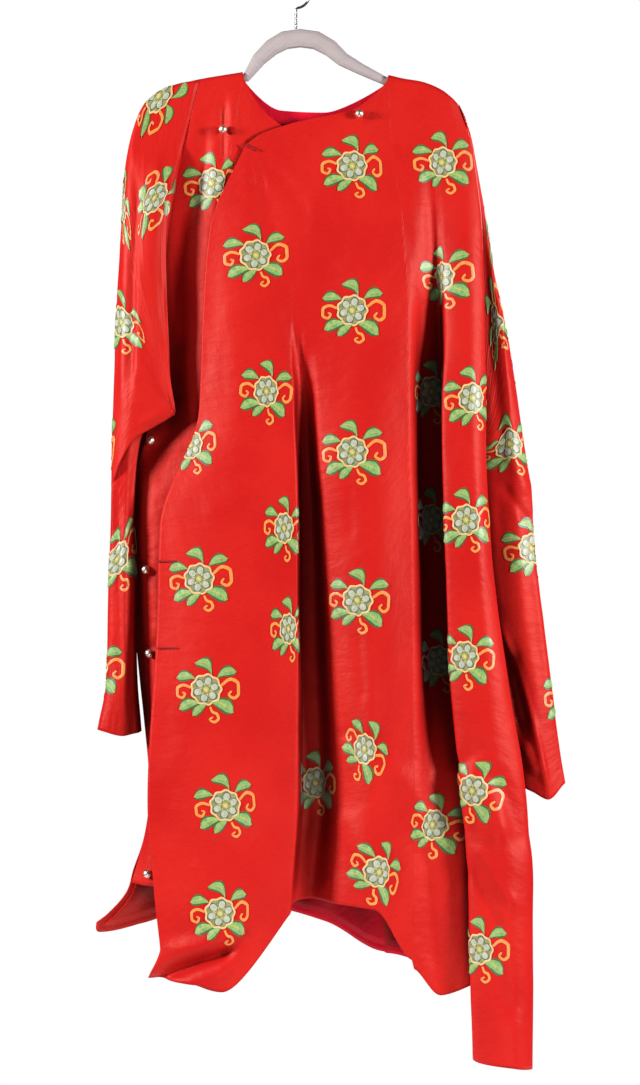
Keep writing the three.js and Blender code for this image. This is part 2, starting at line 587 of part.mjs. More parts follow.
// The back's lining lies inside its wall, short of the shoulder bend, the seams and the hem.
const LINING_SHIFT = -(WALL + LINING_WALL) / 2 - SEAM_GAP;
const backGrid = panelGrid(BACK_FOLDS, -1, PANEL_ROWS.back);
const liningGrid = backGrid.slice(3).map((row) => row.slice(2, -2));
liningGrid.at(-1).forEach((point, c) => point.lerp(liningGrid.at(-2)[c], LINING_TURN_UP));
add("back_lining", clothWall(liningGrid, LINING_WALL, false, LINING_SHIFT), lining);

const SLEEVES = {
  sleeve_right: {
    rings: RIGHT_SLEEVE_RINGS, bend: RIGHT_BEND, seam: RIGHT_SEAM,
    top: ARMHOLE_TOP.right, gaps: RIGHT_ARMHOLE_GAPS, rows: SLEEVE_ROWS.right,
  },
  sleeve_left: {
    rings: LEFT_SLEEVE_RINGS, bend: LEFT_BEND, seam: LEFT_SEAM,
    top: ARMHOLE_TOP.left, gaps: LEFT_ARMHOLE_GAPS, rows: SLEEVE_ROWS.left,
  },
};
for (const [name, sleeve] of Object.entries(SLEEVES)) {
  add(name, clothWall(sleeveGrid(sleeve), WALL, true), satin);
}

// A panel's point at fold number u and a height.
function levelPoint({ folds, side }, u, z) {
  const { top, hem } = endsAt(folds, u);
  return panelPoint(folds, side, u, (z - top[1]) / (hem - top[1]));
}

// The point at a place across and a height, moved off a panel's outer face.
const BESIDE = 0.05; // folds to the neighbour that gives the face's direction
function abovePanel(panel, x, z, height) {
  let [low, high] = [0, panel.folds.length - 1.5];
  while (high - low > 1e-6) {
    const middle = (low + high) / 2;
    if (levelPoint(panel, middle, z).x < x) low = middle;
    else high = middle;
  }
  const point = levelPoint(panel, low, z);
  const run = levelPoint(panel, low + BESIDE, z).sub(point);
  const normal = new THREE.Vector3(run.y, -run.x, 0).normalize();
  return point.addScaledVector(normal, height);
}

for (const { name, panel, x, z } of BUTTONS) {
  const ball = new THREE.SphereGeometry(BUTTON_RADIUS, 12, 8);
  const mesh = add(`button_${name}`, ball, metal);
  mesh.position.copy(abovePanel(PANELS[panel], x, z, WALL / 2 + SEAM_GAP + BUTTON_RADIUS));
}
for (const { name, x, z } of LOOPS) {
  const height = WALL / 2 + 2 * SEAM_GAP + CORD_RADIUS;
  const places = LOOP_PLACES.map((t) => abovePanel(PANELS.front, mix(...x, t), mix(...z, t), height));
  add(`loop_${name}`, roundCord(new THREE.CatmullRomCurve3(places), CORD_RADIUS, 6, 8), cord);
}

add("hanger", loftedBar(hangerSections(), 12), hangerPlastic);
add("hook", roundCord(new HookLine(), HOOK_WIRE_RADIUS, 8, 30), chrome);

export default part;
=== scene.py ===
"""A changshan, the long Chinese robe that closes over to the wearer's right, on a clothes hanger.

Metres, +Z up. The front faces -Y, so "out" is towards -Y. The origin is under the crown of the hook.
"""
import math
from typing import NamedTuple

import bmesh
import bpy
import numpy as np
from mathutils import Matrix, Vector, noise
from mathutils.bvhtree import BVHTree


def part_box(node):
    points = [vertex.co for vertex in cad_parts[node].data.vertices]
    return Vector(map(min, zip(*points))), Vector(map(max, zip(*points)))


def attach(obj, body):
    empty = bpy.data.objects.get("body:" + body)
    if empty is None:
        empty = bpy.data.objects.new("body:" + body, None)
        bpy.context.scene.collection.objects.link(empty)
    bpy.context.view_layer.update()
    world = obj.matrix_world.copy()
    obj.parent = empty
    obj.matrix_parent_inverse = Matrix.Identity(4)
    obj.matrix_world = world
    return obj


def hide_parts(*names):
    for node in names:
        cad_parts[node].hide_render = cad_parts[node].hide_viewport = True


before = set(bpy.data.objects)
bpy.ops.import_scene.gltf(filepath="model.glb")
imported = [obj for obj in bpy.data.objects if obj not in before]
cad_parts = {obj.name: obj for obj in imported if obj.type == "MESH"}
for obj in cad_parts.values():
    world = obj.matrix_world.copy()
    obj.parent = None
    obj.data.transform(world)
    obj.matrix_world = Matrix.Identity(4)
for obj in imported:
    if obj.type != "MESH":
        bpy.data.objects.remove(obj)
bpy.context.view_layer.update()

# ------------------------------------------------------------------ camera and studio
# A plain white studio: a soft box on each side, so that the deep folds stay dark. The camera looks
# level at the robe's middle.
CAMERA_AT = (0.0336, -3.6, -0.784)
PICTURE_HEIGHT = 1.519  # at the robe
scene = bpy.context.scene
camera = bpy.data.objects.new("camera", bpy.data.cameras.new("camera"))
camera.location = CAMERA_AT
camera.rotation_euler = (math.pi / 2, 0, 0)
camera.data.sensor_width = 36
camera.data.lens = -CAMERA_AT[1] * camera.data.sensor_width / PICTURE_HEIGHT
scene.collection.objects.link(camera)
scene.camera = camera
scene.view_settings.view_transform = "Standard"


def soft_light(name, at, towards, size, watts, colour=(1, 1, 1)):
    lamp = bpy.data.lights.new(name, "AREA")
    lamp.shape, lamp.size, lamp.energy, lamp.color = "DISK", size, watts, colour
    holder = bpy.data.objects.new(name, lamp)
    holder.location = at
    holder.rotation_euler = (Vector(towards) - Vector(at)).to_track_quat("-Z", "Y").to_euler()
    scene.collection.objects.link(holder)


soft_light("left box", (-2.9, -1.3, 0.1), (0, 0, -0.8), 0.7, 180)
soft_light("right box", (2.8, -1.6, -0.1), (0, 0, -0.8), 0.7, 172)
soft_light("floor glow", (0.1, -1.3, -1.66), (0.08, 0, -1.3), 0.35, 5)
soft_light("shoulder", (-1.0, -0.9, 0.5), (-0.2, 0, -0.2), 0.4, 6)
soft_light("back", (1.2, 2.6, 0.4), (0, 0, -0.8), 1.2, 60)

world = bpy.data.worlds.new("studio")
scene.world = world
world.use_nodes = True
sky = world.node_tree
seen = sky.nodes["Background"]
seen.inputs["Color"].default_value = (1, 1, 1, 1)
seen.inputs["Strength"].default_value = 1
felt = sky.nodes.new("ShaderNodeBackground")
felt.inputs["Color"].default_value = (1, 0.98, 0.97, 1)
felt.inputs["Strength"].default_value = 0.04
ray = sky.nodes.new("ShaderNodeLightPath")
choice = sky.nodes.new("ShaderNodeMixShader")
sky.links.new(ray.outputs["Is Camera Ray"], choice.inputs["Fac"])
sky.links.new(felt.outputs[0], choice.inputs[1])
sky.links.new(seen.outputs[0], choice.inputs[2])
sky.links.new(choice.outputs[0], sky.nodes["World Output"].inputs["Surface"])


# ------------------------------------------------------------------ floor
# A round sheet of pale matt paper, well below the hem. Its material, like all those below, is
# written as sums and products of shader sockets.
class Wire:
    """A shader socket on which Python's operators add Math nodes."""

    def __init__(self, shade, socket):
        self.shade, self.socket = shade, socket

    def math(self, operation, *others):
        return self.shade.node("Math", {"operation": operation}, dict(enumerate((self, *others))))

    def __add__(self, other):
        return self.math("ADD", other)

    def __mul__(self, other):
        return self.math("MULTIPLY", other)

    __radd__, __rmul__ = __add__, __mul__

    def ramp(self, low, high):
        values = {"Value": self, "From Min": low, "From Max": high}
        return self.shade.node("MapRange", {"interpolation_type": "SMOOTHSTEP"}, values)


class Shade:
    """One material: node() adds a node from its type, settings and socket values."""

    def __init__(self, name, **constants):
        self.material = bpy.data.materials.new(name)
        self.material.use_nodes = True
        self.tree = self.material.node_tree
        self.surface = self.tree.nodes["Principled BSDF"]
        for socket, value in constants.items():
            self.surface.inputs[socket.replace("_", " ")].default_value = value

    def node(self, kind, settings=None, inputs=None, output=0):
        made = self.tree.nodes.new("ShaderNode" + kind)
        for key, value in (settings or {}).items():
            setattr(made, key, value)
        for key, value in (inputs or {}).items():
            self.feed(made.inputs[key], value)
        return Wire(self, made.outputs[output])

    def feed(self, socket, value):
        if isinstance(value, Wire):
            self.tree.links.new(value.socket, socket)
        elif isinstance(value, tuple) and len(value) == 3 and socket.type == "RGBA":
            socket.default_value = (*value, 1)
        else:
            socket.default_value = value

    def place(self, output="UV"):
        return self.node("TexCoord", output=output)

    def noise(self, place, scale, detail=2.0, stretch=(1, 1, 1)):
        across = self.node("Mapping", inputs={"Vector": place, "Scale": stretch})
        return self.node("TexNoise", inputs={"Vector": across, "Scale": scale, "Detail": detail})

    def blend(self, factor, one, two):
        factor_socket, one_socket, two_socket, colour_output = 0, 6, 7, 2  # a colour Mix node's
        inputs = {factor_socket: factor, one_socket: one, two_socket: two}
        return self.node("Mix", {"data_type": "RGBA"}, inputs, colour_output)

    def darkened_by_painted_shade(self, colour, painted_shade_colour):
        """Painted shade: the colour, sunk towards a dark one where the piece's own attribute says other
        cloth shuts off its outlook.
        """
        painted_shade_share = self.node("Attribute", {"attribute_name": "painted_shade"}, output="Fac")
        return self.blend(painted_shade_share.ramp(0.2, 0.66), colour, painted_shade_colour)

    def set(self, **inputs):
        for key, value in inputs.items():
            self.feed(self.surface.inputs[key.replace("_", " ")], value)

    def bump(self, height, distance, strength):
        inputs = {"Height": height, "Distance": distance, "Strength": strength}
        self.feed(self.surface.inputs["Normal"], self.node("Bump", inputs=inputs))


def finished(name, bm, shades):
    """The piece that a bmesh has become, in its materials."""
    mesh = bpy.data.meshes.new(name)
    bm.to_mesh(mesh)
    bm.free()
    for shade in shades:
        mesh.materials.append(shade.material)
    piece = bpy.data.objects.new(name, mesh)
    scene.collection.objects.link(piece)
    return piece


FLOOR_Z, FLOOR_RADIUS = -1.72, 0.9
floor_shade = Shade("floor_paper", Roughness=0.9)
floor_grain = floor_shade.noise(floor_shade.place("Object"), scale=40, detail=3)
floor_shade.set(Base_Color=floor_shade.blend(floor_grain, (0.80, 0.80, 0.79), (0.84, 0.84, 0.83)))
floor_sheet = bmesh.new()
bmesh.ops.create_circle(floor_sheet, cap_ends=True, segments=96, radius=FLOOR_RADIUS)
bmesh.ops.translate(floor_sheet, verts=floor_sheet.verts, vec=(0, 0, FLOOR_Z))
finished("floor", floor_sheet, [floor_shade])


# ------------------------------------------------------------------ front
# The outer front is one width of glossy silk satin, lined. It starts at the neck, crosses to the
# wearer's right, and its folds fall straight from the collar bones to the hem.
MM = 0.001
WALL = 1.4 * MM  # the satin with its lining
SEAM_GAP = 0.3  # millimetres, as are the sizes below
HEIGHTS = [-230, -350, -480, -600, -760, -920, -1140, -1260, -1380]
LEVEL_STEP = 5  # between the heights at which a panel's section is worked out
RIGHT_SHOULDER = {"x": [-228, -218, -190, -165, -134, -74], "z": [-196, -178, -153, -143, -136, -126]}
LEFT_SHOULDER = {"x": [129, 150, 174, 202, 223, 238], "z": [-130, -135, -139, -150, -167, -190]}
RIDGE_RADIUS, TIP_RADIUS = 8, 3  # of the bend over the hanger, which narrows at its left tip
TIP_START, TIP_END = 212, 226
LEFT_SEAM = {
    "x": [238, 243, 245, 246, 250, 264, 292, 300, 306],
    "front": [2, 4, 2, 0, 2, 6, 10, 12, 14],
    "back": [-12, -16, -12, -1, 1, 5, 9, 11, 13],
}


class Fold(NamedTuple):
    """One fold line of a panel, in millimetres: x and out are given at HEIGHTS."""
    name: str
    top: tuple
    hem: float
    x: list
    out: list


FRONT_FOLDS = [
    Fold("overlap edge", top=(-71, -230, 14), hem=-1368,
         x=[-71, -121, -131, -136, -190, -195, -206, -197, -183],
         out=[14, 17, 19, 21, 28, 36, 50, 56, 60]),
    Fold("right panel", top=(-46, -213, 15), hem=-1400,
         x=[-46, -65, -70, -72, -86, -91, -96, -98, -100],
         out=[15, 28, 36, 42, 50, 58, 68, 74, 78]),
    Fold("panel crest", top=(-14, -202, 15), hem=-1296,
         x=[-8, -12, -8, -4, 1, 3, 1, -6, -14], out=[15, 28, 34, 42, 50, 54, 60, 64, 68]),
    Fold("tuck", top=(0, -198, 15), hem=-1284,
         x=[4, -3, 0, 4, 6, 7, 7, 1, -6], out=[15, 28, 31, 20, 6, 4, 10, 16, 24]),
    Fold("trough", top=(10, -196, 15), hem=-1281,
         x=[14, 12, 12, 14, 22, 26, 32, 22, 10], out=[15, 28, 31, 14, 0, -2, 0, 8, 18]),
    Fold("rise", top=(28, -192, 15), hem=-1284,
         x=[30, 30, 30, 32, 40, 50, 58, 52, 46], out=[16, 29, 32, 34, 34, 32, 30, 36, 42]),
    Fold("middle ridge", top=(80, -180, 14), hem=-1290,
         x=[84, 94, 98, 103, 108, 110, 112, 110, 108],
         out=[17, 34, 42, 48, 54, 56, 60, 62, 64]),
    Fold("neck corner", top=(127, -139, 8.3), hem=-1360,
         x=[132, 147, 154, 153, 157, 159, 160, 160, 161],
         out=[17, 31, 37, 37, 41, 45, 51, 54, 57]),
    Fold("fall", top=(130, -130, 8.3), hem=-1372,
         x=[135, 150, 157, 156, 160, 162, 163, 163, 164],
         out=[17, 30, 36, 36, 40, 44, 50, 53, 56]),
    Fold("slope", top=(156, -136, 0), hem=-1410,
         x=[165, 174, 177, 177, 182, 186, 194, 198, 200],
         out=[17, 24, 12, 0, -2, 2, 34, 42, 46]),
    Fold("under the lip", top=(176, -139, 0), hem=-1396,
         x=[188, 193, 201, 207, 210, 214, 233, 240, 243],
         out=[16, 16, -1, -12, -18, -16, 26, 36, 42]),
    Fold("lip", top=(186, -142, 0), hem=-1494,
         x=[198, 208, 208, 204, 207, 211, 230, 238, 241],
         out=[16, 23, 28, 36, 42, 46, 52, 56, 60]),
    Fold("side ridge", top=(208, -154, 0), hem=-1503,
         x=[226, 236, 240, 241, 248, 258, 280, 288, 294],
         out=[15, 30, 38, 44, 52, 58, 72, 79, 84]),
    Fold("side edge", top=(227.4, -172.4, 0), hem=-1508,
         x=[246, 258, 263, 263, 269, 286, 318, 326, 326],
         out=[9, 18, 24, 26, 32, 38, 48, 53, 56]),
    Fold("left seam", top=(226, -171, 0), hem=-1500,
         x=LEFT_SEAM["x"], out=LEFT_SEAM["front"]),
]


class Crease(NamedTuple):
    """A soft trough (depth below 0) or ridge in the cloth, along a bowed line, in millimetres."""
    name: str
    start: tuple
    end: tuple
    width: float
    depth: float
    bow: float = 0


FRONT_CREASES = [
    Crease("corner wrinkle, steep", (-68, -240), (-58, -292), 3, -2, 1),
    Crease("corner wrinkle, middle", (-63, -241), (-42, -298), 3.5, -2, 3),
    Crease("corner wrinkle, long", (-58, -239), (10, -268), 4, -1.8, 4),
    Crease("neck strain, long", (-60, -246), (16, -345), 13, -2.6, 14),
    Crease("neck strain, low", (-66, -262), (-34, -420), 14, -2.6, 16),
    Crease("chest fold, short", (-8, -345), (16, -352), 3, -1.2),
    Crease("above the trough", (7, -478), (6, -600), 4, -2),
    Crease("chest to middle", (-18, -440), (2, -560), 10, -2, 4),
    Crease("middle furrow", (72, -660), (76, -790), 4, -1.4),
    Crease("middle furrow, low", (84, -905), (92, -1010), 8, -2, 3),
    Crease("middle ridge line", (96, -860), (104, -1150), 9, 2, 3),
    Crease("middle bend", (60, -1040), (120, -1090), 12, -2, 6),
    Crease("left breast", (150, -290), (172, -470), 16, 2.5, 8),
    Crease("side ridge bend", (232, -1090), (285, -1200), 16, 6, 8),
    Crease("side ridge hollow", (262, -1085), (312, -1215), 15, -5, 8),
    Crease("side ridge hollow, low", (250, -1330), (300, -1440), 18, -4, 5),
    Crease("side ridge, cross", (226, -1105), (262, -1060), 10, -4, 6),
    Crease("side ridge, second", (240, -1150), (296, -1300), 12, -4, -8),
    Crease("side ridge facet", (244, -1190), (306, -1290), 9, 5, -4),
    Crease("side ridge facet, under", (240, -1222), (288, -1326), 8, -5, -4),
    Crease("panel shallow", (-130, -760), (-40, -700), 22, 2, 8),
    Crease("panel shallow, waist", (-176, -830), (-70, -860), 18, -2, -6),
    Crease("panel shallow, low", (-190, -1080), (-60, -1120), 26, 2, 10),
    Crease("panel shallow, hem", (-170, -1210), (-30, -1180), 26, -2.5, -10),
    Crease("hem roll", (-196, -1376), (-78, -1340), 8, -17, -3),
    Crease("hem roll, crest", (-186, -1348), (-60, -1300), 12, 6, -8),
    Crease("hem roll, turned", (-180, -1400), (-80, -1364), 9, 3, -3),
    Crease("middle hem swell", (60, -1150), (110, -1260), 20, 4, 6),
    Crease("lower trough, right", (170, -1180), (200, -1400), 16, -4, 4),
    Crease("lower middle dent", (128, -1090), (176, -1180), 18, 4, 10),
]
WAVER = 1.1  # millimetres by which cloth is nowhere quite even


def curve(knots, values, at):
    """A smooth curve through values at knots that never overshoots, straight past its ends."""
    x, y, at = (np.asarray(a, float) for a in (knots, values, at))
    if x[-1] < x[0]:
        x, y = x[::-1], y[::-1]
    wide = np.diff(x)
    slope = np.diff(y) / wide
    tangent = np.zeros_like(y)
    tangent[0], tangent[-1] = slope[0], slope[-1]
    share, rest = 2 * wide[1:] + wide[:-1], wide[1:] + 2 * wide[:-1]
    same = slope[:-1] * slope[1:] > 0
    before, after = np.where(same, slope[:-1], 1), np.where(same, slope[1:], 1)
    tangent[1:-1] = np.where(same, (share + rest) / (share / before + rest / after), 0)
    k = np.clip(np.searchsorted(x, at, side="right") - 1, 0, len(x) - 2)
    t = (at - x[k]) / wide[k]
    inside = (y[k] * (2 * t**3 - 3 * t**2 + 1) + tangent[k] * wide[k] * (t**3 - 2 * t**2 + t)
              + y[k + 1] * (3 * t**2 - 2 * t**3) + tangent[k + 1] * wide[k] * (t**3 - t**2))
    low, high = y[0] + tangent[0] * (at - x[0]), y[-1] + tangent[-1] * (at - x[-1])
    return np.where(at < x[0], low, np.where(at > x[-1], high, inside))


def chain(points):
    """Distances along a chain of points, for use as knots."""
    steps = np.maximum(np.linalg.norm(np.diff(points, axis=0), axis=1), 0.5)
    return np.concatenate([[0], np.cumsum(steps)])


def along_shoulder(shoulder, x):
    return curve(shoulder["x"], shoulder["z"], np.clip(x, shoulder["x"][0], shoulder["x"][-1]))


def over(shoulder, x):
    return (x >= shoulder["x"][0]) & (x <= shoulder["x"][-1])


def shoulder_at(x):
    """The shoulder line's height."""
    right, left = along_shoulder(RIGHT_SHOULDER, x), along_shoulder(LEFT_SHOULDER, x)
    return np.where(np.asarray(x) < 0, right, left)


def ridge_radius(x):
    return np.interp(x, [TIP_START, TIP_END], [RIDGE_RADIUS, TIP_RADIUS])


def hanging_panel(folds, side, across, down):
    """Points of a panel in millimetres: across counts folds, down runs from the top edge to the hem."""
    numbers = np.arange(len(folds))
    top = np.array([curve(numbers, [fold.top[axis] for fold in folds], across) for axis in range(3)])
    hem = curve(numbers, [fold.hem for fold in folds], across)
    on_ridge = over(RIGHT_SHOULDER, top[0]) | over(LEFT_SHOULDER, top[0])
    top[1] = np.where(on_ridge, shoulder_at(top[0]), top[1])
    z = top[1] + (hem - top[1]) * down[:, None]

    levels = np.arange(HEIGHTS[0], hem.min() - 2 * LEVEL_STEP, -LEVEL_STEP)
    lines = np.array([[curve(HEIGHTS, line, levels) for line in (fold.x, fold.out)] for fold in folds])
    low = np.minimum(across.astype(int), len(folds) - 2)
    table = np.empty((len(levels), len(across), 2))
    for row in range(len(levels)):
        points = lines[:, :, row]
        knots = chain(points)
        at = knots[low] + (knots[low + 1] - knots[low]) * (across - low)
        table[row] = np.stack([curve(knots, points[:, 0], at), curve(knots, points[:, 1], at)], 1)
    place = np.clip((HEIGHTS[0] - z) / LEVEL_STEP, 0, len(levels) - 1.001)
    row, part = place.astype(int), (place % 1)[..., None]
    column = np.arange(len(across))[None, :]
    section = table[row, column] * (1 - part) + table[row + 1, column] * part

    rise = np.clip((z - HEIGHTS[0]) / np.maximum(top[1] - HEIGHTS[0], 0.01), 0, 1)
    radius = ridge_radius(top[0])
    below = np.clip((top[1] - z) / radius, 0, 1)
    bend = side * (radius * np.sqrt(1 - (1 - below) ** 2) + SEAM_GAP)
    at_top = np.where(on_ridge, bend, top[2])
    out = at_top + (section[..., 1] - at_top) * (1 - rise) ** 1.5
    x = section[..., 0] + (top[0] - section[..., 0]) * rise
    return np.stack([x, -out, z], -1)


def outward(grid, round_a_tube=False):
    """Unit normals of a grid of points, out of the cloth's right side."""
    if round_a_tube:
        across = np.roll(grid, -1, 1) - np.roll(grid, 1, 1)
    else:
        across = np.gradient(grid, axis=1)
    down = np.gradient(grid, axis=0)
    normal = np.cross(down, across)
    return normal / np.maximum(np.linalg.norm(normal, axis=-1, keepdims=True), 1e-9)


def waver(grid, amount, size, seed):
    """Uneven soft swells, the same at a place on the cloth however fine the grid."""
    flat = grid.reshape(-1, 3) / (size, size, size * 2.2)
    shift = Vector((seed * 7.3, seed * 3.1, seed * 5.7))
    return amount * np.array([noise.noise(Vector(p) + shift) for p in flat]).reshape(grid.shape[:2])


FADE_RATE, FADE_START = 4, 0.35  # a crease grows from its ends to full depth


def crease_depth(grid, creases):
    """How far the creases move each point along its normal, in millimetres."""
    depth = np.zeros(grid.shape[:2])
    for crease in creases:
        start, end = np.array(crease.start, float), np.array(crease.end, float)
        run = end - start
        length = np.linalg.norm(run)
        run /= length
        from_start = grid[..., [0, 2]] - start
        along = from_start @ run / length
        aside = from_start @ np.array([-run[1], run[0]]) - crease.bow * 4 * along * (1 - along)
        near_start, near_end = (FADE_RATE * part + FADE_START for part in (along, 1 - along))
        fade = np.clip(near_start, 0, 1) * np.clip(near_end, 0, 1)
        depth += crease.depth * np.exp(-((aside / crease.width) ** 2)) * fade**2
    return depth


EDGE_RETREAT = 0.014  # by which a panel's side edges stop short of the seam, as a share of a fold
BEND_ROWS = [0, 0.0004, 0.0014, 0.0030, 0.0052, 0.0080]  # over the shoulder, as shares of the drop


def cloth_columns(folds, step):
    """Places across a panel, about a step apart at its widest, short of each seam."""
    across = []
    for number, (one, two) in enumerate(zip(folds, folds[1:])):
        width = max(math.hypot(b - a, d - c) for a, b, c, d in zip(one.x, two.x, one.out, two.out))
        count = max(2, round(width / step))
        across += [number + part / count for part in range(count)]
    across.append(len(folds) - 1)
    across[0], across[-1] = EDGE_RETREAT, len(folds) - 1 - EDGE_RETREAT
    return np.array(across)


def cloth_rows(count):
    return np.concatenate([BEND_ROWS, np.linspace(BEND_ROWS[-1], 1, count + 1)[1:]])


def arc_lengths(grid, axis):
    steps = np.linalg.norm(np.diff(grid, axis=axis), axis=-1)
    pad = [(0, 0), (0, 0)]
    pad[axis] = (1, 0)
    return np.pad(np.cumsum(steps, axis=axis), pad)


def cloth_piece(name, grid, shades, tube=False, thickness=WALL, faced=None):
    """A sheet of cloth on a grid of points in metres, right side out, with its wall and its lining.
    Where faced(place) holds, a strip of the third shade covers both sides."""
    wrapped = np.concatenate([grid, grid[:, :1]], 1) if tube else grid
    rows, wide = wrapped.shape[:2]
    bm = bmesh.new()
    bmesh.ops.create_grid(bm, x_segments=wide - 1, y_segments=rows - 1, size=1)
    uv = bm.loops.layers.uv.new("cloth")
    across, down = arc_lengths(wrapped, 1), arc_lengths(wrapped, 0)
    if tube:
        across = np.broadcast_to(np.median(across, axis=0), across.shape)
        down = np.broadcast_to(np.median(down, axis=1)[:, None], down.shape)
    else:
        across = across - across[:, [wide // 2]]
    flat = np.stack([across, -down], -1)[::-1].reshape(-1, 2)  # the grid's first row is the lowest
    for vert, point in zip(bm.verts, wrapped[::-1].reshape(-1, 3)):
        vert.co = point
    for face in bm.faces:
        for loop in face.loops:
            loop[uv].uv = flat[loop.vert.index]
        face.smooth = True
        face.material_index = 2 if faced and faced(face.calc_center_median()) else 0
    if tube:
        bmesh.ops.remove_doubles(bm, verts=bm.verts, dist=1e-6)
    piece = finished(name, bm, shades)
    wall = piece.modifiers.new("wall", "SOLIDIFY")
    wall.thickness, wall.offset = thickness, 0
    wall.material_offset = 1
    wall.use_quality_normals = True
    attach(piece, "root")
    return piece


SATIN_GLOSS = (1, 0.32, 0.26, 1)  # filament silk throws its own colour back


def satin_shade(name, lit, deep, painted_shade_colour):
    """Heavy silk satin: a smooth warp face with a fine diagonal twill line and uneven filament."""
    shade = Shade(name, Specular_IOR_Level=0.3, Specular_Tint=SATIN_GLOSS)
    cloth = shade.place()
    slub = shade.noise(cloth, scale=90, detail=3, stretch=(1, 8, 1))
    cloud = shade.noise(cloth, scale=7, detail=3)
    thread = shade.noise(cloth, scale=700, detail=1, stretch=(1, 0.25, 1))
    colour = shade.blend((slub * 0.35 + cloud * 0.65).ramp(0.3, 0.7), deep, lit)
    # Painted shade: deep in the folds and behind the sleeves the base colour sinks towards the dark
    # colour.
    shade.set(Base_Color=shade.darkened_by_painted_shade(colour, painted_shade_colour))
    shade.set(Roughness=0.42 + cloud * 0.1 + slub * 0.05)
    rumple = shade.noise(cloth, scale=22, detail=4, stretch=(1, 0.6, 1))
    crinkle = shade.noise(cloth, scale=46, detail=3, stretch=(0.6, 1.6, 1))
    relief = thread * 0.015 + slub * 0.03 + rumple * 0.8 + crinkle * 0.35
    shade.bump(relief, distance=3.8 * MM, strength=0.8)
    return shade


# The last colour of each is the painted shade of its deepest folds.
satin = satin_shade("satin", (0.45, 0.010, 0.007), (0.38, 0.005, 0.005), (0.09, 0.001, 0.001))
lining = satin_shade("lining", (0.60, 0.004, 0.022), (0.52, 0.003, 0.018), (0.02, 0.001, 0.001))


SWELL_SIZES = (60, 22)  # across the broad and the small unevenness
EASE_IN = 60  # the creases come in over this length below a panel's top


def pressed_panel(folds, side, step, rows, creases, seed):
    """A panel's points in metres: its folds, then its creases and its unevenness."""
    grid = hanging_panel(folds, side, cloth_columns(folds, step), cloth_rows(rows))
    broad, small = SWELL_SIZES
    depth = crease_depth(grid, creases)
    depth += waver(grid, 2 * WAVER, broad, seed) + waver(grid, 0.5 * WAVER, small, seed + 1)
    falls = np.clip((grid[..., 2].max(0)[None] - grid[..., 2]) / EASE_IN, 0, 1)
    return (grid + outward(grid) * (depth * falls)[..., None]) * MM


front_grid = pressed_panel(FRONT_FOLDS, side=1, step=5.2, rows=240, creases=FRONT_CREASES, seed=1)
FLAP_TOP, FLAP_FALL, FLAP_EDGE, FLAP_WIDTH = -1344 * MM, 24 * MM, -135 * MM, 45 * MM
FLAP_ASIDE, FLAP_DOWN = 22 * MM, 16 * MM
flap = np.clip((FLAP_TOP - front_grid[..., 2]) / FLAP_FALL, 0, 1) ** 1.5
flap *= np.clip((FLAP_EDGE - front_grid[..., 0]) / FLAP_WIDTH, 0, 1)
front_grid[..., 0] -= FLAP_ASIDE * flap  # the hem's corner kicks out
front_grid[..., 2] -= FLAP_DOWN * flap
front = cloth_piece("front_satin", front_grid, [satin, lining])
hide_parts("front")


# ------------------------------------------------------------------ under front
# The narrow inner front that the outer one closes over, of the same lined satin. It is sewn to the
# back at the wearer's right side, and carries the buttons down that side.
RIGHT_SEAM = {
    "x": [-158, -178, -192, -204, -238, -226, -206, -230, -360],
    "front": [4, -1, -7, -7, -23, -23, -13, -13, -19],
    "back": [-8, -13, -14, -10, -25.4, -25.4, -15.4, -15.4, -24],
}
UNDER_FRONT_FOLDS = [
    Fold("right seam", top=(-134, -136, 0), hem=-1262,
         x=RIGHT_SEAM["x"], out=RIGHT_SEAM["front"]),
    Fold("side", top=(-108, -131, 0), hem=-1264,
         x=[-134, -156, -166, -178, -196, -190, -188, -204, -216],
         out=[5, -3, -7, -6, 0, 4, 8, 8, 10]),
    Fold("middle", top=(-76, -126, 8.3), hem=-1266,
         x=[-92, -112, -118, -122, -126, -126, -126, -126, -126],
         out=[10, 11, 11, 12, 15, 18, 24, 28, 32]),
    Fold("neck corner", top=(-73, -135, 8.3), hem=-1266,
         x=[-89, -109, -115, -119, -123, -123, -123, -123, -123],
         out=[10, 11, 11, 12, 15, 18, 24, 28, 32]),
    Fold("neck side", top=(-48, -178, 9), hem=-1266,
         x=[-52, -64, -72, -76, -80, -80, -80, -80, -80],
         out=[10, 12, 13, 14, 16, 18, 24, 28, 32]),
    Fold("inner edge", top=(-12, -208, 9), hem=-1266,
         x=[-12, -22, -32, -38, -42, -42, -42, -42, -42],
         out=[9, 11, 12, 12, 14, 16, 20, 24, 28]),
]
UNDER_CREASES = [
    Crease("button pleat", (-101, -160), (-102, -262), 5, -4),
    Crease("beside the pleat", (-89, -150), (-86, -232), 7, 2.5),
    Crease("pull to the corner", (-99, -208), (-72, -238), 3, -2),
    Crease("armhole pull", (-128, -200), (-146, -330), 8, -3, 6),
    Crease("button pull, waist", (-208, -822), (-160, -860), 10, -3),
    Crease("button pull, hip", (-204, -939), (-160, -900), 10, -3),
]
under_grid = pressed_panel(UNDER_FRONT_FOLDS, side=1, step=5.5, rows=210, creases=UNDER_CREASES, seed=4)
under_front = cloth_piece("under_front_satin", under_grid, [satin, lining])
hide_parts("under_front")


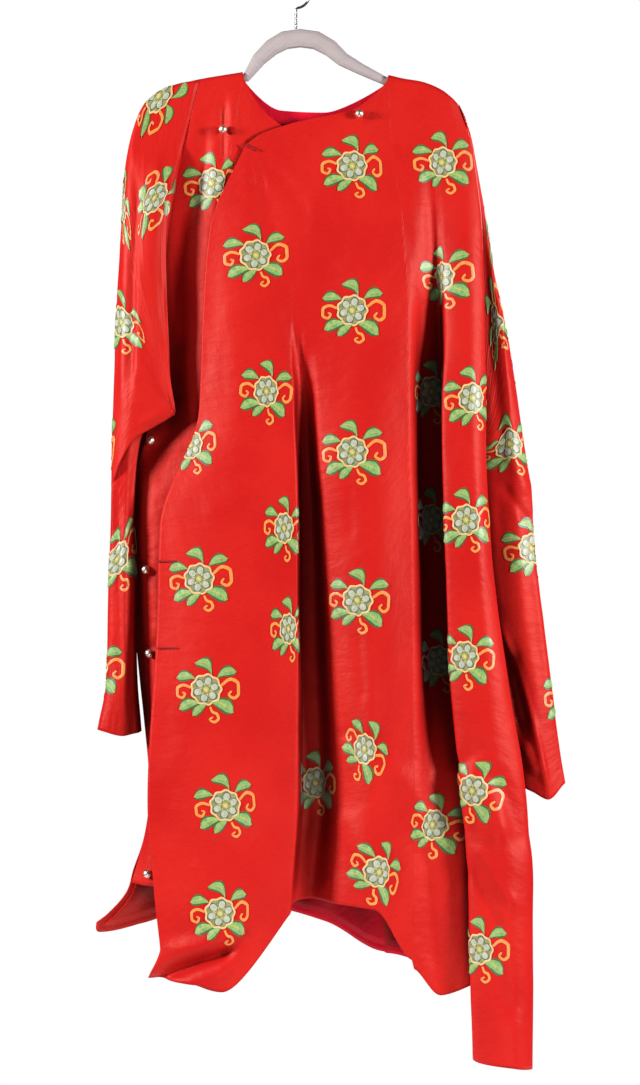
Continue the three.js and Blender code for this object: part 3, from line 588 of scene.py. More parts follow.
# ------------------------------------------------------------------ back
# The back is one length of satin from both shoulders to the hem. Below the hip a satin facing
# strengthens its right edge, beside the side vent.
BACK_FOLDS = [
    Fold("left seam", top=(226, -171, 0), hem=-1410,
         x=LEFT_SEAM["x"], out=LEFT_SEAM["back"]),
    Fold("left side", top=(208, -154, 0), hem=-1408,
         x=[222, 226, 229, 230, 236, 250, 274, 282, 290],
         out=[-16, -27, -31, -32, -36, -38, -40, -41, -42]),
    Fold("left fold", top=(160, -134, 0), hem=-1400,
         x=[165, 172, 176, 178, 184, 192, 206, 214, 222],
         out=[-15, -34, -44, -50, -58, -64, -72, -80, -86]),
    Fold("left trough", top=(130, -130, -8.7), hem=-1366,
         x=[112, 110, 110, 110, 114, 116, 120, 124, 128],
         out=[-15, -32, -38, -38, -40, -42, -42, -44, -46]),
    Fold("left neck corner", top=(127, -139, -8.7), hem=-1364,
         x=[109, 107, 107, 107, 111, 113, 117, 121, 125],
         out=[-15, -32, -39, -39, -41, -43, -43, -45, -47]),
    Fold("centre fold", top=(40, -180, -13), hem=-1328,
         x=[38, 38, 40, 40, 40, 42, 42, 44, 46],
         out=[-15, -36, -48, -54, -62, -68, -76, -82, -88]),
    Fold("right trough", top=(-22, -177, -13), hem=-1300,
         x=[-28, -34, -36, -38, -42, -44, -46, -49, -52],
         out=[-15, -32, -36, -36, -38, -40, -40, -42, -44]),
    Fold("right neck corner", top=(-73, -135, -8.3), hem=-1308,
         x=[-83, -103, -113, -119, -125, -129, -135, -142, -149],
         out=[-15, -30, -42, -48, -54, -60, -68, -75, -80]),
    Fold("right fold", top=(-76, -126, -8.3), hem=-1308,
         x=[-86, -106, -116, -122, -128, -132, -138, -145, -152],
         out=[-15, -30, -42, -48, -54, -60, -68, -75, -80]),
    Fold("right side", top=(-108, -131, 0), hem=-1324,
         x=[-132, -166, -180, -190, -204, -198, -194, -208, -240],
         out=[-14, -22, -25, -24, -34, -36, -36, -40, -46]),
    Fold("rounded corner", top=(-125, -134, 0), hem=-1333,
         x=[-151, -173, -187, -212, -234, -217, -201, -222, -322],
         out=[-10, -15, -18, -21, -33, -30, -23, -23, -30]),
    Fold("right seam", top=(-134, -136, 0), hem=-1318,
         x=RIGHT_SEAM["x"], out=RIGHT_SEAM["back"]),
]
BACK_CREASES = [
    Crease("left blade", (150, -260), (120, -480), 18, 4, 8),
    Crease("left blade, trough", (178, -250), (150, -520), 14, -4, 8),
    Crease("right blade", (-120, -250), (-84, -470), 18, 4, -8),
    Crease("right blade, trough", (-140, -240), (-110, -520), 14, -4, -8),
    Crease("neck strain, left", (96, -190), (40, -330), 12, -4, 8),
    Crease("neck strain, right", (-60, -180), (-4, -330), 12, -4, -8),
    Crease("waist, level", (-160, -800), (40, -850), 24, 3, 10),
    Crease("waist, level, left", (60, -900), (220, -850), 24, -3, -10),
    Crease("hip ridge", (70, -980), (100, -1250), 16, 4, 6),
    Crease("hip ridge, right", (-90, -1000), (-110, -1260), 16, -4, 6),
    Crease("corner pull", (-140, -1150), (-300, -1310), 16, 5, 10),
    Crease("corner hollow", (-150, -1190), (-290, -1330), 13, -4, 8),
]
VENT_TOP, FACING_EDGE = -1000 * MM, -165 * MM
back_grid = pressed_panel(BACK_FOLDS, side=-1, step=6, rows=210, creases=BACK_CREASES, seed=7)


def vent_facing(place):
    return place.x < FACING_EDGE and place.z < VENT_TOP


back = cloth_piece("back_satin", back_grid, [satin, lining, satin, satin], faced=vent_facing)
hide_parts("back")


# ------------------------------------------------------------------ back lining
# Plain pink silk, a little shorter and narrower than the back, sewn in at the neck and seams. It
# shows in the neck and below the front's hem.
LINING_WALL = 1.0 * MM
LINING_GAP = 0.8  # between the two walls
lining_columns = cloth_columns(BACK_FOLDS, 8)[3:-3]
lining_rows = cloth_rows(115)[len(BEND_ROWS):-1]
lining_base = hanging_panel(BACK_FOLDS, -1, lining_columns, lining_rows)
lining_depth = crease_depth(lining_base, BACK_CREASES) + waver(lining_base, 2 * WAVER, 70, 7)
lining_depth -= (WALL + LINING_WALL) / 2 / MM + LINING_GAP
lining_grid = (lining_base + outward(lining_base) * lining_depth[..., None]) * MM
back_lining = cloth_piece("back_lining_silk", lining_grid, [lining, lining, satin, satin],
                          thickness=LINING_WALL, faced=vent_facing)
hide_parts("back_lining")


# ------------------------------------------------------------------ sleeves
# Long narrow tubes set into the side edges; the right one falls in front of the body, its upper
# part folded over so that a lip hides the underarm, and the left one falls behind the body's side.
UNDERARM_Z = -600
YOKE_Z, YOKE_FADE, YOKE_RISE = -215, 80, 60  # above this height a sleeve lies level with its seam
YOKE_SLACK = 0.4


class Ring(NamedTuple):
    """One ring of a sleeve, each place as (x, z, out) in millimetres."""
    name: str
    inner: tuple
    corner: tuple
    middle: tuple
    outer: tuple
    back: tuple


RIGHT_SLEEVE_RINGS = [
    Ring("fold", inner=(-208, -592, -4), corner=(-174, -588, 26),
         middle=(-181, -374, 26), outer=(-144, -138, 0), back=(-192, -374, -18)),
    Ring("cap", inner=(-209, -594, -4), corner=(-171, -596, 28),
         middle=(-190, -381, 30), outer=(-174, -146, 0), back=(-202, -385, -24)),
    Ring("shoulder", inner=(-210, -597, -4), corner=(-168, -601, 29),
         middle=(-204, -391, 32), outer=(-212, -172, 0), back=(-213, -395, -27)),
    Ring("upper arm", inner=(-211, -600, -4), corner=(-168, -603, 29),
         middle=(-214, -409, 32), outer=(-237, -255, 0), back=(-222, -425, -27)),
    Ring("arm", inner=(-212, -604, -4), corner=(-168, -605, 28),
         middle=(-218, -444, 30), outer=(-246, -388, 0), back=(-227, -480, -26)),
    Ring("lower arm", inner=(-213, -608, -4), corner=(-170, -607, 27),
         middle=(-219, -514, 28), outer=(-253, -514, 0), back=(-232, -550, -24)),
    Ring("above the lip", inner=(-214, -614, -4), corner=(-176, -610, 25),
         middle=(-222, -577, 26), outer=(-256, -612, 0), back=(-235, -610, -22)),
    Ring("lip", inner=(-217, -630, -5), corner=(-190, -617, 20),
         middle=(-226, -640, 22), outer=(-258, -703, 0), back=(-238, -665, -20)),
    Ring("behind the lip", inner=(-218, -640, -5), corner=(-208, -606, 8),
         middle=(-231, -628, 9), outer=(-258, -708, -1), back=(-239, -675, -20)),
    Ring("below the lip", inner=(-225, -684, -6), corner=(-224, -688, 0),
         middle=(-237, -712, 10), outer=(-259, -752, 0), back=(-242, -716, -18)),
    Ring("elbow", inner=(-225, -770, -7), corner=(-227, -772, 0),
         middle=(-239, -790, 14), outer=(-260, -808, 0), back=(-243, -790, -16)),
    Ring("forearm", inner=(-224, -868, -7), corner=(-227, -868, 2),
         middle=(-240, -868, 14), outer=(-263, -868, 0), back=(-244, -868, -16)),
    Ring("wrist", inner=(-223, -976, -6), corner=(-226, -976, 4),
         middle=(-240, -976, 14), outer=(-266, -976, 0), back=(-245, -976, -16)),
    Ring("cuff", inner=(-217, -1048, -5), corner=(-221, -1050, 6),
         middle=(-242, -1054, 13), outer=(-277, -1046, 0), back=(-247, -1050, -14)),
]
RIGHT_ARMHOLE_GAPS = {"front": [(-0.1, 0.3), (-0.6, 0.6)], "back": [(-0.8, 0), (-2.2, 0)]}
RIGHT_BEND = (6.5, 8.5)  # of the cloth round a ring's ends: its run along the ring, its half depth
LEFT_SLEEVE_RINGS = [
    Ring("fold", inner=(250, -604, -4), corner=(250, -575, -3),
         middle=(250, -390, -2), outer=(236, -187, -2), back=(249, -390, -20)),
    Ring("cap", inner=(251, -606, -4), corner=(255, -580, -4),
         middle=(258, -395, -3), outer=(246, -220, -6), back=(256, -395, -24)),
    Ring("upper arm", inner=(252, -609, -4), corner=(259, -588, -4),
         middle=(268, -408, -2), outer=(260, -300, -9), back=(262, -430, -27)),
    Ring("arm", inner=(253, -614, -4), corner=(264, -602, -3),
         middle=(281, -445, 0), outer=(282, -425, -9), back=(270, -500, -28)),
    Ring("lower arm", inner=(253, -624, -4), corner=(267, -620, -2),
         middle=(292, -520, 2), outer=(302, -530, -8), back=(280, -570, -27)),
    Ring("elbow", inner=(254, -656, -5), corner=(269, -656, -1),
         middle=(300, -640, 4), outer=(320, -645, -8), back=(290, -650, -26)),
    Ring("below the elbow", inner=(256, -730, -6), corner=(272, -730, 0),
         middle=(305, -730, 5), outer=(331, -730, -8), back=(294, -730, -25)),
    Ring("forearm", inner=(262, -830, -7), corner=(276, -830, -1),
         middle=(311, -830, 7), outer=(338, -830, -8), back=(300, -830, -24)),
    Ring("wrist", inner=(276, -930, -8), corner=(289, -930, -1),
         middle=(320, -930, 9), outer=(350, -930, -7), back=(312, -930, -23)),
    Ring("above the cuff", inner=(292, -1040, -8), corner=(303, -1040, 0),
         middle=(336, -1046, 10), outer=(365, -1040, -6), back=(328, -1040, -21)),
    Ring("cuff", inner=(312, -1121, -7), corner=(321, -1128, 2),
         middle=(352, -1143, 9), outer=(377, -1121, -5), back=(344, -1124, -19)),
]
LEFT_ARMHOLE_GAPS = {"front": [(1.8, -2.4), (1.4, -2)], "back": [(1.4, -1.4), (1.8, 0)]}
LEFT_BEND = (4, 4)
RING_CELLS = [8, 4, 7, 12, 8, 8, 12, 8, 4]  # from each of a ring's places to the next
CELLS_TO_OUTER = sum(RING_CELLS[:5])
EDGE_POINT = 0.35  # of the way from the corner to the middle


def ring_points(ring, bend):
    """A ring's nine places, with the bends at its ends."""
    inner, corner, middle, outer, back = (np.array(p, float) for p in ring[1:])
    along, deep = bend

    def toward(start, end, side):
        reach = math.hypot(end[0] - start[0], end[1] - start[1])
        x, z = start[:2] + (end[:2] - start[:2]) * along / reach
        return np.array([x, z, start[2] + side * deep])

    edge = corner + (middle - corner) * EDGE_POINT
    outer_bends = toward(outer, middle, 1), toward(outer, back, -1)
    inner_bend = toward(inner, back, -1)
    return np.array([inner, corner, edge, middle, outer_bends[0], outer, outer_bends[1], back, inner_bend])


def ring_line(points):
    """The smooth closed line round a ring's places."""
    padded = np.concatenate([points[-1:], points, points[:2]])
    knots = chain(padded)
    at = np.concatenate([knots[k + 1] + (knots[k + 2] - knots[k + 1]) * np.arange(n) / n
                         for k, n in enumerate(RING_CELLS)])
    x, z, out = (curve(knots, padded[:, axis], at) for axis in range(3))
    return np.stack([x, -out, z], -1)


def armhole_line(following, seam, top, gaps):
    """The sleeve's sewn edge, on the body's side edges, level with the points of the next ring."""
    shoulder, radius = float(shoulder_at(top)), float(ridge_radius(top))
    low, high = following[0, 2], following[CELLS_TO_OUTER, 2]
    line = []
    for number, point in enumerate(following):
        side, edge = (1, "front") if number <= CELLS_TO_OUTER else (-1, "back")
        rise = min(max((point[2] - low) / (high - low), 0), 1)
        z = UNDERARM_Z + (shoulder - UNDERARM_Z) * rise
        level = min(z, HEIGHTS[0])
        above = min(max((z - HEIGHTS[0]) / (shoulder - HEIGHTS[0]), 0), 1)
        bend = min(max((shoulder - z) / radius, 0), 1)
        ridge = side * radius * math.sqrt(1 - (1 - bend) ** 2)
        x = float(curve(HEIGHTS, seam["x"], level)) * (1 - above) + top * above
        out = float(curve(HEIGHTS, seam[edge], level)) * (1 - above) + ridge * above
        aside, forward = (foot + (head - foot) * rise for head, foot in zip(*gaps[edge]))
        line.append((x + aside, -(out + forward), z))
    return np.array(line)


SLEEVE_ROWS, PRESSED_ROWS = 190, 8  # the creases come in over the first of the rows


def sleeve_grid(rings, bend, seam, top, gaps, creases, seed):
    """A sleeve's points in metres, ring by ring down the arm, right side out."""
    controls = np.array([ring_points(ring, bend) for ring in rings])
    numbers = np.arange(len(rings))
    at = np.linspace(0, len(rings) - 1, SLEEVE_ROWS + 1)
    points = np.stack([[curve(numbers, controls[:, place, axis], at) for axis in range(3)]
                       for place in range(controls.shape[1])])
    grid = np.array([ring_line(points[:, :, row]) for row in range(len(at))])
    edge = armhole_line(grid[0], seam, top, gaps)
    below_yoke = np.clip((YOKE_Z - grid[..., 2]) / YOKE_FADE, 0, 1)
    level = np.maximum(grid[..., 1], edge[None, :, 1] - YOKE_SLACK - YOKE_RISE * below_yoke**2)
    front_half = np.arange(grid.shape[1]) <= CELLS_TO_OUTER
    grid[..., 1] = np.where(front_half, level, grid[..., 1])
    grid = np.concatenate([edge[None], grid])
    broad, small = SWELL_SIZES
    depth = crease_depth(grid, creases)
    depth += waver(grid, 2 * WAVER, broad, seed) + waver(grid, 0.6 * WAVER, small, seed + 1)
    depth *= np.clip(np.arange(len(grid)) / PRESSED_ROWS, 0, 1)[:, None]
    if top < 0:
        grid, depth = grid[:, ::-1], depth[:, ::-1]
    return (grid + outward(grid, True) * depth[..., None]) * MM


RIGHT_SLEEVE_CREASES = [
    Crease("outer light strip", (-232, -230), (-243, -610), 6, 3),
    Crease("beside the strip", (-220, -250), (-231, -590), 6, -3.5),
    Crease("shoulder fall", (-198, -240), (-206, -420), 12, 3, 4),
    Crease("lip fall", (-184, -420), (-192, -580), 9, -3, 4),
    Crease("lip pull", (-172, -592), (-222, -552), 8, -3, 4),
    Crease("lip edge", (-168, -590), (-222, -622), 6, 2.5, 2),
    Crease("forearm", (-250, -700), (-246, -1000), 7, -3),
]
right_grid = sleeve_grid(RIGHT_SLEEVE_RINGS, RIGHT_BEND, RIGHT_SEAM, -134, RIGHT_ARMHOLE_GAPS,
                         RIGHT_SLEEVE_CREASES, seed=11)
sleeve_right = cloth_piece("sleeve_right_satin", right_grid, [satin, lining], tube=True)
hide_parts("sleeve_right")

LEFT_SLEEVE_CREASES = [
    Crease("forearm hollow", (290, -925), (322, -1056), 11, -9, 2),
    Crease("forearm ridge", (283, -895), (354, -1146), 4.5, 4.5, 8),
    Crease("cuff lit", (318, -1060), (338, -1110), 9, 4),
    Crease("upper fall", (262, -330), (300, -700), 9, -3, -6),
    Crease("elbow pull", (290, -640), (326, -720), 9, 3),
    Crease("elbow pull, low", (286, -700), (330, -760), 7, -3),
    Crease("outer fall", (330, -800), (362, -1060), 6, 2.5),
]
left_grid = sleeve_grid(LEFT_SLEEVE_RINGS, LEFT_BEND, LEFT_SEAM, 226, LEFT_ARMHOLE_GAPS,
                        LEFT_SLEEVE_CREASES, seed=14)
sleeve_left = cloth_piece("sleeve_left_satin", left_grid, [satin, lining], tube=True)
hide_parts("sleeve_left")


# ------------------------------------------------------------------ embroidered sprays
# A round flower in a scalloped gold rim, with six leaves and three curled tendrils, worked in silk
# on the satin. On the back they stand in staggered columns, 120 mm apart and 200 mm down each.
class Leaf(NamedTuple):
    """A leaf of the spray, in millimetres from the flower's centre."""
    base: tuple
    tip: tuple
    width: float
    bow: float


LEAVES = [
    Leaf((8, 20), (-15, 37), 14, -9),
    Leaf((-14, 15), (-42, 17), 13, -4),
    Leaf((15, 15), (43, 23), 13, 5),
    Leaf((-8, -18), (-39, -27), 14, -4),
    Leaf((2, -19), (-20, -36), 11, -2),
    Leaf((5, -18), (37, -33), 17, 5),
]


class Tendril(NamedTuple):
    """A curled tendril: the points its line runs through, and its width."""
    points: list
    width: float


TENDRILS = [
    Tendril([(-21, 3), (-32, 7), (-41, 2), (-41, -7), (-34, -11), (-30, -5), (-34, -3)], 4.2),
    Tendril([(21, 5), (34, 13), (45, 6), (45, -7), (38, -13), (31, -8), (35, -3)], 4.8),
    Tendril([(5, -24), (8, -31), (14, -34), (16, -40), (10, -45), (4, -41), (9, -38)], 3.8),
]
GROUND_LIFT, RIM_LIFT, RIM_CROWN = 0.3, 0.5, 0.4
RIM_RADIUS, RIM_WIDTH, RIM_SCALLOPS, SCALLOP_DEPTH = 20.2, 2.6, 9, 1.1
PETALS, PETAL_AT, PETAL_SIZE, PETAL_LINE = 6, 12.0, (5.2, 4.6), 0.9
STAMEN_AT, STAMEN_SIZE, HEART_SIZE, HEART_TIP_SIZE = 7.5, (2.4, 1.2), (4.2, 4.2), (1.8, 1.8)
LEAF_FULLEST, LEAF_BLUNTNESS, FINEST = 1.5, 0.62, 0.15
DOME = 0.35  # of a filled part of the flower over its edge
THREAD_LIFT = 0.35  # of the flat stitches above the cloth
THREADS = ["ground", "petal_line", "petal", "gold", "leaf_line", "leaf", "vein", "tendril"]


def in_thread(made, thread, smooth=True):
    for face in {face for vert in made for face in vert.link_faces}:
        face.material_index = THREADS.index(thread)
        face.smooth = smooth


def patch(bm, columns, rows, thread, shape):
    """A patch of stitches: a grid whose points (s, t) in -1..1 are moved to shape(s, t)."""
    made = bmesh.ops.create_grid(bm, x_segments=columns, y_segments=rows, size=1)["verts"]
    for vert in made:
        vert.co = shape(vert.co.x, vert.co.y)
    in_thread(made, thread)


def disc(bm, segments, thread, centre, size, lift, turn=0.0):
    """A filled oval of stitches, domed a little."""
    made = bmesh.ops.create_circle(bm, cap_ends=True, cap_tris=True, segments=segments, radius=1)["verts"]
    for vert in made:
        crown = 1 - min(vert.co.xy.length, 1)
        x, y = vert.co.x * size[0], vert.co.y * size[1]
        across = x * math.cos(turn) - y * math.sin(turn) + centre[0]
        up = x * math.sin(turn) + y * math.cos(turn) + centre[1]
        vert.co = (across, up, lift + DOME * crown)
    in_thread(made, thread, smooth=False)


def leaf_shape(leaf, share, lift, crown):
    """The shape of a leaf, or of a share of its width, round and blunt towards the tip."""
    base, tip = Vector(leaf.base), Vector(leaf.tip)
    run = tip - base
    side = Vector((-run.y, run.x)).normalized()

    def shape(s, t):
        along = (s + 1) / 2
        swell = math.sin(math.pi * min(max(along, 0), 1) ** LEAF_FULLEST) ** LEAF_BLUNTNESS
        half = leaf.width / 2 * share * swell
        middle = base + run * along + side * leaf.bow * 4 * along * (1 - along)
        point = middle + side * t * max(half, FINEST)
        return (point.x, point.y, lift + crown * (1 - t * t))
    return shape


def tendril_shape(tendril, lift):
    """The shape of a tendril, a little thinner at its ends."""
    points = np.array(tendril.points, float)
    knots = chain(points)

    def shape(s, t):
        at = knots[-1] * (s + 1) / 2
        here = np.array([curve(knots, points[:, axis], at) for axis in range(2)])
        ahead = np.array([curve(knots, points[:, axis], at + 0.3) for axis in range(2)])
        run = (ahead - here) / np.linalg.norm(ahead - here)
        half = tendril.width / 2 * (0.55 + 0.45 * math.sin(math.pi * (0.15 + 0.8 * (s + 1) / 2)))
        end = 1 if s < 0.95 else 0.7
        x, y = here + np.array([-run[1], run[0]]) * t * half * end
        return (x, y, lift + DOME * (1 - t * t))
    return shape


def at_turn(radius, turn):
    return radius * math.cos(turn), radius * math.sin(turn)


def rim_shape(s, t):
    scallop = SCALLOP_DEPTH * math.cos(RIM_SCALLOPS * -math.pi * s)
    radius = RIM_RADIUS + t * RIM_WIDTH / 2 + scallop
    return (*at_turn(radius, -math.pi * s), RIM_LIFT + RIM_CROWN * (1 - t * t))


def ground_shape(s, t):
    return (*at_turn(RIM_RADIUS * (t + 1) / 2, -math.pi * s), GROUND_LIFT)


spray = bmesh.new()
patch(spray, 36, 4, "ground", ground_shape)
patch(spray, 72, 2, "gold", rim_shape)
for number in range(PETALS):
    turn = 2 * math.pi * (number + 0.25) / PETALS
    between = turn + math.pi / PETALS
    outline = tuple(half + PETAL_LINE for half in PETAL_SIZE)
    disc(spray, 12, "petal_line", at_turn(PETAL_AT * 1.08, turn), outline, lift=0.45, turn=turn)
    disc(spray, 12, "petal", at_turn(PETAL_AT, turn), PETAL_SIZE, lift=0.75, turn=turn)
    disc(spray, 8, "vein", at_turn(STAMEN_AT, between), STAMEN_SIZE, lift=0.5, turn=between)
disc(spray, 10, "vein", (0, 0), HEART_SIZE, lift=0.7)
disc(spray, 8, "gold", (0, 0), HEART_TIP_SIZE, lift=0.95)
for leaf in LEAVES:
    patch(spray, 8, 2, "leaf_line", leaf_shape(leaf, share=1.28, lift=0.1, crown=0.1))
    patch(spray, 8, 2, "leaf", leaf_shape(leaf, share=0.88, lift=0.35, crown=0.45))
    patch(spray, 6, 1, "vein", leaf_shape(leaf, share=0.13, lift=0.95, crown=0))
for tendril in TENDRILS:
    patch(spray, 34, 2, "tendril", tendril_shape(tendril, lift=0.2))
spray_mesh = bpy.data.meshes.new("spray")
spray.to_mesh(spray_mesh)
spray.free()


def thread_shade(name, lit, deep):
    """Floss silk in satin stitch: fine parallel threads with a soft gloss."""
    shade = Shade(name, Roughness=0.45, Sheen_Weight=0.2)
    place = shade.place()
    stitch = shade.noise(place, scale=900, detail=1, stretch=(1, 0.12, 1))
    tone = shade.noise(place, scale=160)
    colour = shade.blend((stitch * 0.5 + tone * 0.5).ramp(0.3, 0.7), deep, lit)
    # Painted shade: deep in the folds the thread's colour sinks towards 0.16 of its deep colour.
    shade.set(Base_Color=shade.darkened_by_painted_shade(colour, tuple(0.16 * part for part in deep)))
    shade.bump(stitch, distance=0.2 * MM, strength=0.7)
    return shade


thread_shades = [
    thread_shade("thread_ground", (0.25, 0.22, 0.08), (0.11, 0.12, 0.04)),
    thread_shade("thread_petal_line", (0.03, 0.12, 0.11), (0.01, 0.05, 0.05)),
    thread_shade("thread_petal", (0.44, 0.42, 0.31), (0.23, 0.27, 0.2)),
    thread_shade("thread_gold", (0.66, 0.42, 0.18), (0.54, 0.30, 0.10)),
    thread_shade("thread_leaf_line", (0.06, 0.09, 0.02), (0.03, 0.05, 0.01)),
    thread_shade("thread_leaf", (0.23, 0.38, 0.11), (0.09, 0.21, 0.05)),
    thread_shade("thread_vein", (0.36, 0.36, 0.10), (0.26, 0.29, 0.07)),
    thread_shade("thread_tendril", (0.68, 0.24, 0.04), (0.55, 0.14, 0.02)),
]


SETTLINGS = 3  # rounds in which a spray settles on slanting cloth
NEAR_COLUMNS = 3
EDGE_MARGIN = 2  # of a panel's top and hem that is left unworked


class Ground:
    """Cloth to stitch on: its points, its normals, and the lengths along it in millimetres."""

    def __init__(self, grid, tube):
        self.tube = tube
        self.grid = np.concatenate([grid, grid], 1) if tube else grid
        self.normals = outward(self.grid)
        self.across, self.down = (arc_lengths(self.grid, axis) / MM for axis in (1, 0))
        self.rows, self.columns = (np.arange(count) for count in self.grid.shape[:2])

    def at(self, rows, columns):
        """Points and normals at fractional rows and columns."""
        rows = np.clip(rows, 0, len(self.rows) - 1.001)
        columns = np.clip(columns, 0, len(self.columns) - 1.001)
        r, c = rows.astype(int), columns.astype(int)
        low, right = (rows - r)[:, None], (columns - c)[:, None]
        found = []
        for values in (self.grid, self.normals):
            above = values[r, c] * (1 - right) + values[r, c + 1] * right
            below = values[r + 1, c] * (1 - right) + values[r + 1, c + 1] * right
            found.append(above * (1 - low) + below * low)
        return found

    def slant(self, row, column):
        """How the cloth turns from level round a place: its share, and its lean and drop."""
        if self.tube:
            return 1, np.zeros(len(self.rows)), np.zeros(len(self.columns))
        home, out = self.grid[row, column], self.normals[row, column]
        down_way = out * out[2] - (0, 0, 1)
        down_way /= np.linalg.norm(down_way)
        side_way = np.cross(out, down_way)
        last = len(self.columns) - 1
        left, right = max(column - NEAR_COLUMNS, 0), min(column + NEAR_COLUMNS, last)
        beside = self.grid[row, right] - self.grid[row, left]
        level = abs(beside @ side_way) / math.hypot(beside @ side_way, beside @ down_way)
        lean = (self.grid[:, column] - home) @ side_way / MM
        return level, lean, (self.grid[row] - home) @ down_way / MM

    def under(self, row, column, x, y):
        """Rows and columns under points x across and y up from a place, and which miss the cloth."""
        level, lean, drop = self.slant(row, column)
        fall = self.down[:, column] - self.down[row, column]
        sunk = np.zeros(len(x))
        for _ in range(SETTLINGS):
            rows = np.interp(-y - sunk, fall, self.rows)
            aside = (x - np.interp(rows, self.rows, lean)) / level
            lines = self.across[rows.round().astype(int)]
            lines = lines - lines[:, [column]]
            columns = np.array([np.interp(to, line, self.columns) for to, line in zip(aside, lines)])
            sunk = np.interp(columns, self.columns, drop)
        missed = (aside < lines[:, 0]) | (aside > lines[:, -1])
        missed |= (-y - sunk < fall[0] + EDGE_MARGIN) | (-y - sunk > fall[-1] - EDGE_MARGIN)
        return rows, columns, missed


def embroider(name, grid, places, tube=False):
    """Works sprays on a piece of cloth, each at a (row, column), turned, and eased in to a width."""
    ground = Ground(grid, tube)
    template = np.array([vert.co for vert in spray_mesh.vertices])
    lift = WALL / 2 + (THREAD_LIFT + template[:, 2:]) * MM
    bm = bmesh.new()
    uv = bm.loops.layers.uv.new("cloth")
    cut_off = []
    for row, column, turn, width in places:
        before = len(bm.verts)
        bm.from_mesh(spray_mesh)
        bm.verts.ensure_lookup_table()
        cos, sin = at_turn(1, math.radians(turn))
        x = width * (template[:, 0] * cos - template[:, 1] * sin)
        y = template[:, 0] * sin + template[:, 1] * cos
        rows, columns, missed = ground.under(row, column, x, y)
        points, normals = ground.at(rows, columns)
        worked = zip(bm.verts[before:], points + normals * lift, template, missed)
        for vert, point, flat, off in worked:
            vert.co = point
            for loop in vert.link_loops:
                loop[uv].uv = flat[:2] * MM
            if off:
                cut_off.append(vert)
    bmesh.ops.delete(bm, geom=cut_off, context="VERTS")
    piece = finished(name, bm, thread_shades)
    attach(piece, "root")
    return piece


NEAR, SAME_LAYER = 7, 6 * MM


def seen_at(grid, x, z, side=1):
    """The row and column where cloth shows at a place, from the front (1) or the back (-1)."""
    apart = np.hypot(grid[..., 0] / MM - x, grid[..., 2] / MM - z)
    near = apart < max(NEAR, apart.min() + 1)
    depth = np.where(near, grid[..., 1] * side, np.inf)
    shown = near & (depth < depth.min() + SAME_LAYER)
    return np.unravel_index(np.argmin(np.where(shown, apart, np.inf)), apart.shape)


class Spray(NamedTuple):
    """A spray's place across and height in millimetres, its turn in degrees, and how far the cloth
    is eased in under it, as a share of its width."""
    x: float
    z: float
    turn: float
    width: float = 1


FRONT_SPRAYS = [
    Spray(78, -260, 0), Spray(202, -255, 4), Spray(-57, -384, 4), Spray(80, -461, 0),
    Spray(202, -414, 8, 0.72), Spray(-43, -575, -6, 0.78), Spray(189, -573, 0), Spray(244, -582, 6, 0.85),
    Spray(-144, -650, 8, 0.8), Spray(78, -661, 4), Spray(-18, -762, -4, 0.62), Spray(188, -752, 0),
    Spray(237, -752, 6, 0.9), Spray(-134, -832, 6), Spray(84, -864, -4), Spray(-12, -902, 0, 0.55),
    Spray(197, -951, 0), Spray(232, -943, -6, 0.9), Spray(-122, -988, 2), Spray(94, -1067, -36, 0.75),
    Spray(27, -1121, 0, 0.9), Spray(-94, -1146, 8), Spray(242, -1122, -24), Spray(186, -1174, -14),
    Spray(113, -1238, -28, 0.85), Spray(-104, -1291, 4), Spray(254, -1340, 0, 0.9),
]
UNDER_SPRAYS = [Spray(-118, -281, 8)]
RIGHT_SLEEVE_SPRAYS = [
    Spray(-190, -164, -10), Spray(-197, -304, 4, 0.9), Spray(-242, -311, 0), Spray(-244, -479, 0),
    Spray(-249, -808, 4),
]
RIGHT_SLEEVE_BACK_SPRAYS = [Spray(-228, -400, 0), Spray(-240, -640, 0), Spray(-252, -960, 0)]
LEFT_SLEEVE_SPRAYS = [Spray(279, -479, 6), Spray(297, -645, 8), Spray(330, -794, 8)]
LEFT_SLEEVE_BACK_SPRAYS = [
    Spray(270, -360, 0), Spray(282, -560, 0), Spray(306, -780, 0), Spray(340, -1000, 0),
]
BACK_LEFT, BACK_RIGHT, BACK_TOP, BACK_LOW = -170, 250, -250, -1270
COLUMN_PITCH, SPRAY_PITCH = 119.7, 200
BACK_SPRAYS = []
for number, x in enumerate(np.arange(BACK_LEFT, BACK_RIGHT, COLUMN_PITCH)):
    for z in np.arange(BACK_TOP - (number % 2) * SPRAY_PITCH / 2, BACK_LOW, -SPRAY_PITCH):
        BACK_SPRAYS.append(Spray(x, z, (number * 37 + int(-z)) % 13 - 6))  # each turned a little


def placed(grid, sprays, side=1):
    return [(*seen_at(grid, spray.x, spray.z, side), spray.turn, spray.width) for spray in sprays]


front_sprays = embroider("front_sprays", front_grid, placed(front_grid, FRONT_SPRAYS))
under_sprays = embroider("under_front_sprays", under_grid, placed(under_grid, UNDER_SPRAYS))
back_sprays = embroider("back_sprays", back_grid, placed(back_grid, BACK_SPRAYS, -1))
right_places = placed(right_grid, RIGHT_SLEEVE_SPRAYS) + placed(right_grid, RIGHT_SLEEVE_BACK_SPRAYS, -1)
right_sprays = embroider("sleeve_right_sprays", right_grid, right_places, tube=True)
left_places = placed(left_grid, LEFT_SLEEVE_SPRAYS) + placed(left_grid, LEFT_SLEEVE_BACK_SPRAYS, -1)
left_sprays = embroider("sleeve_left_sprays", left_grid, left_places, tube=True)


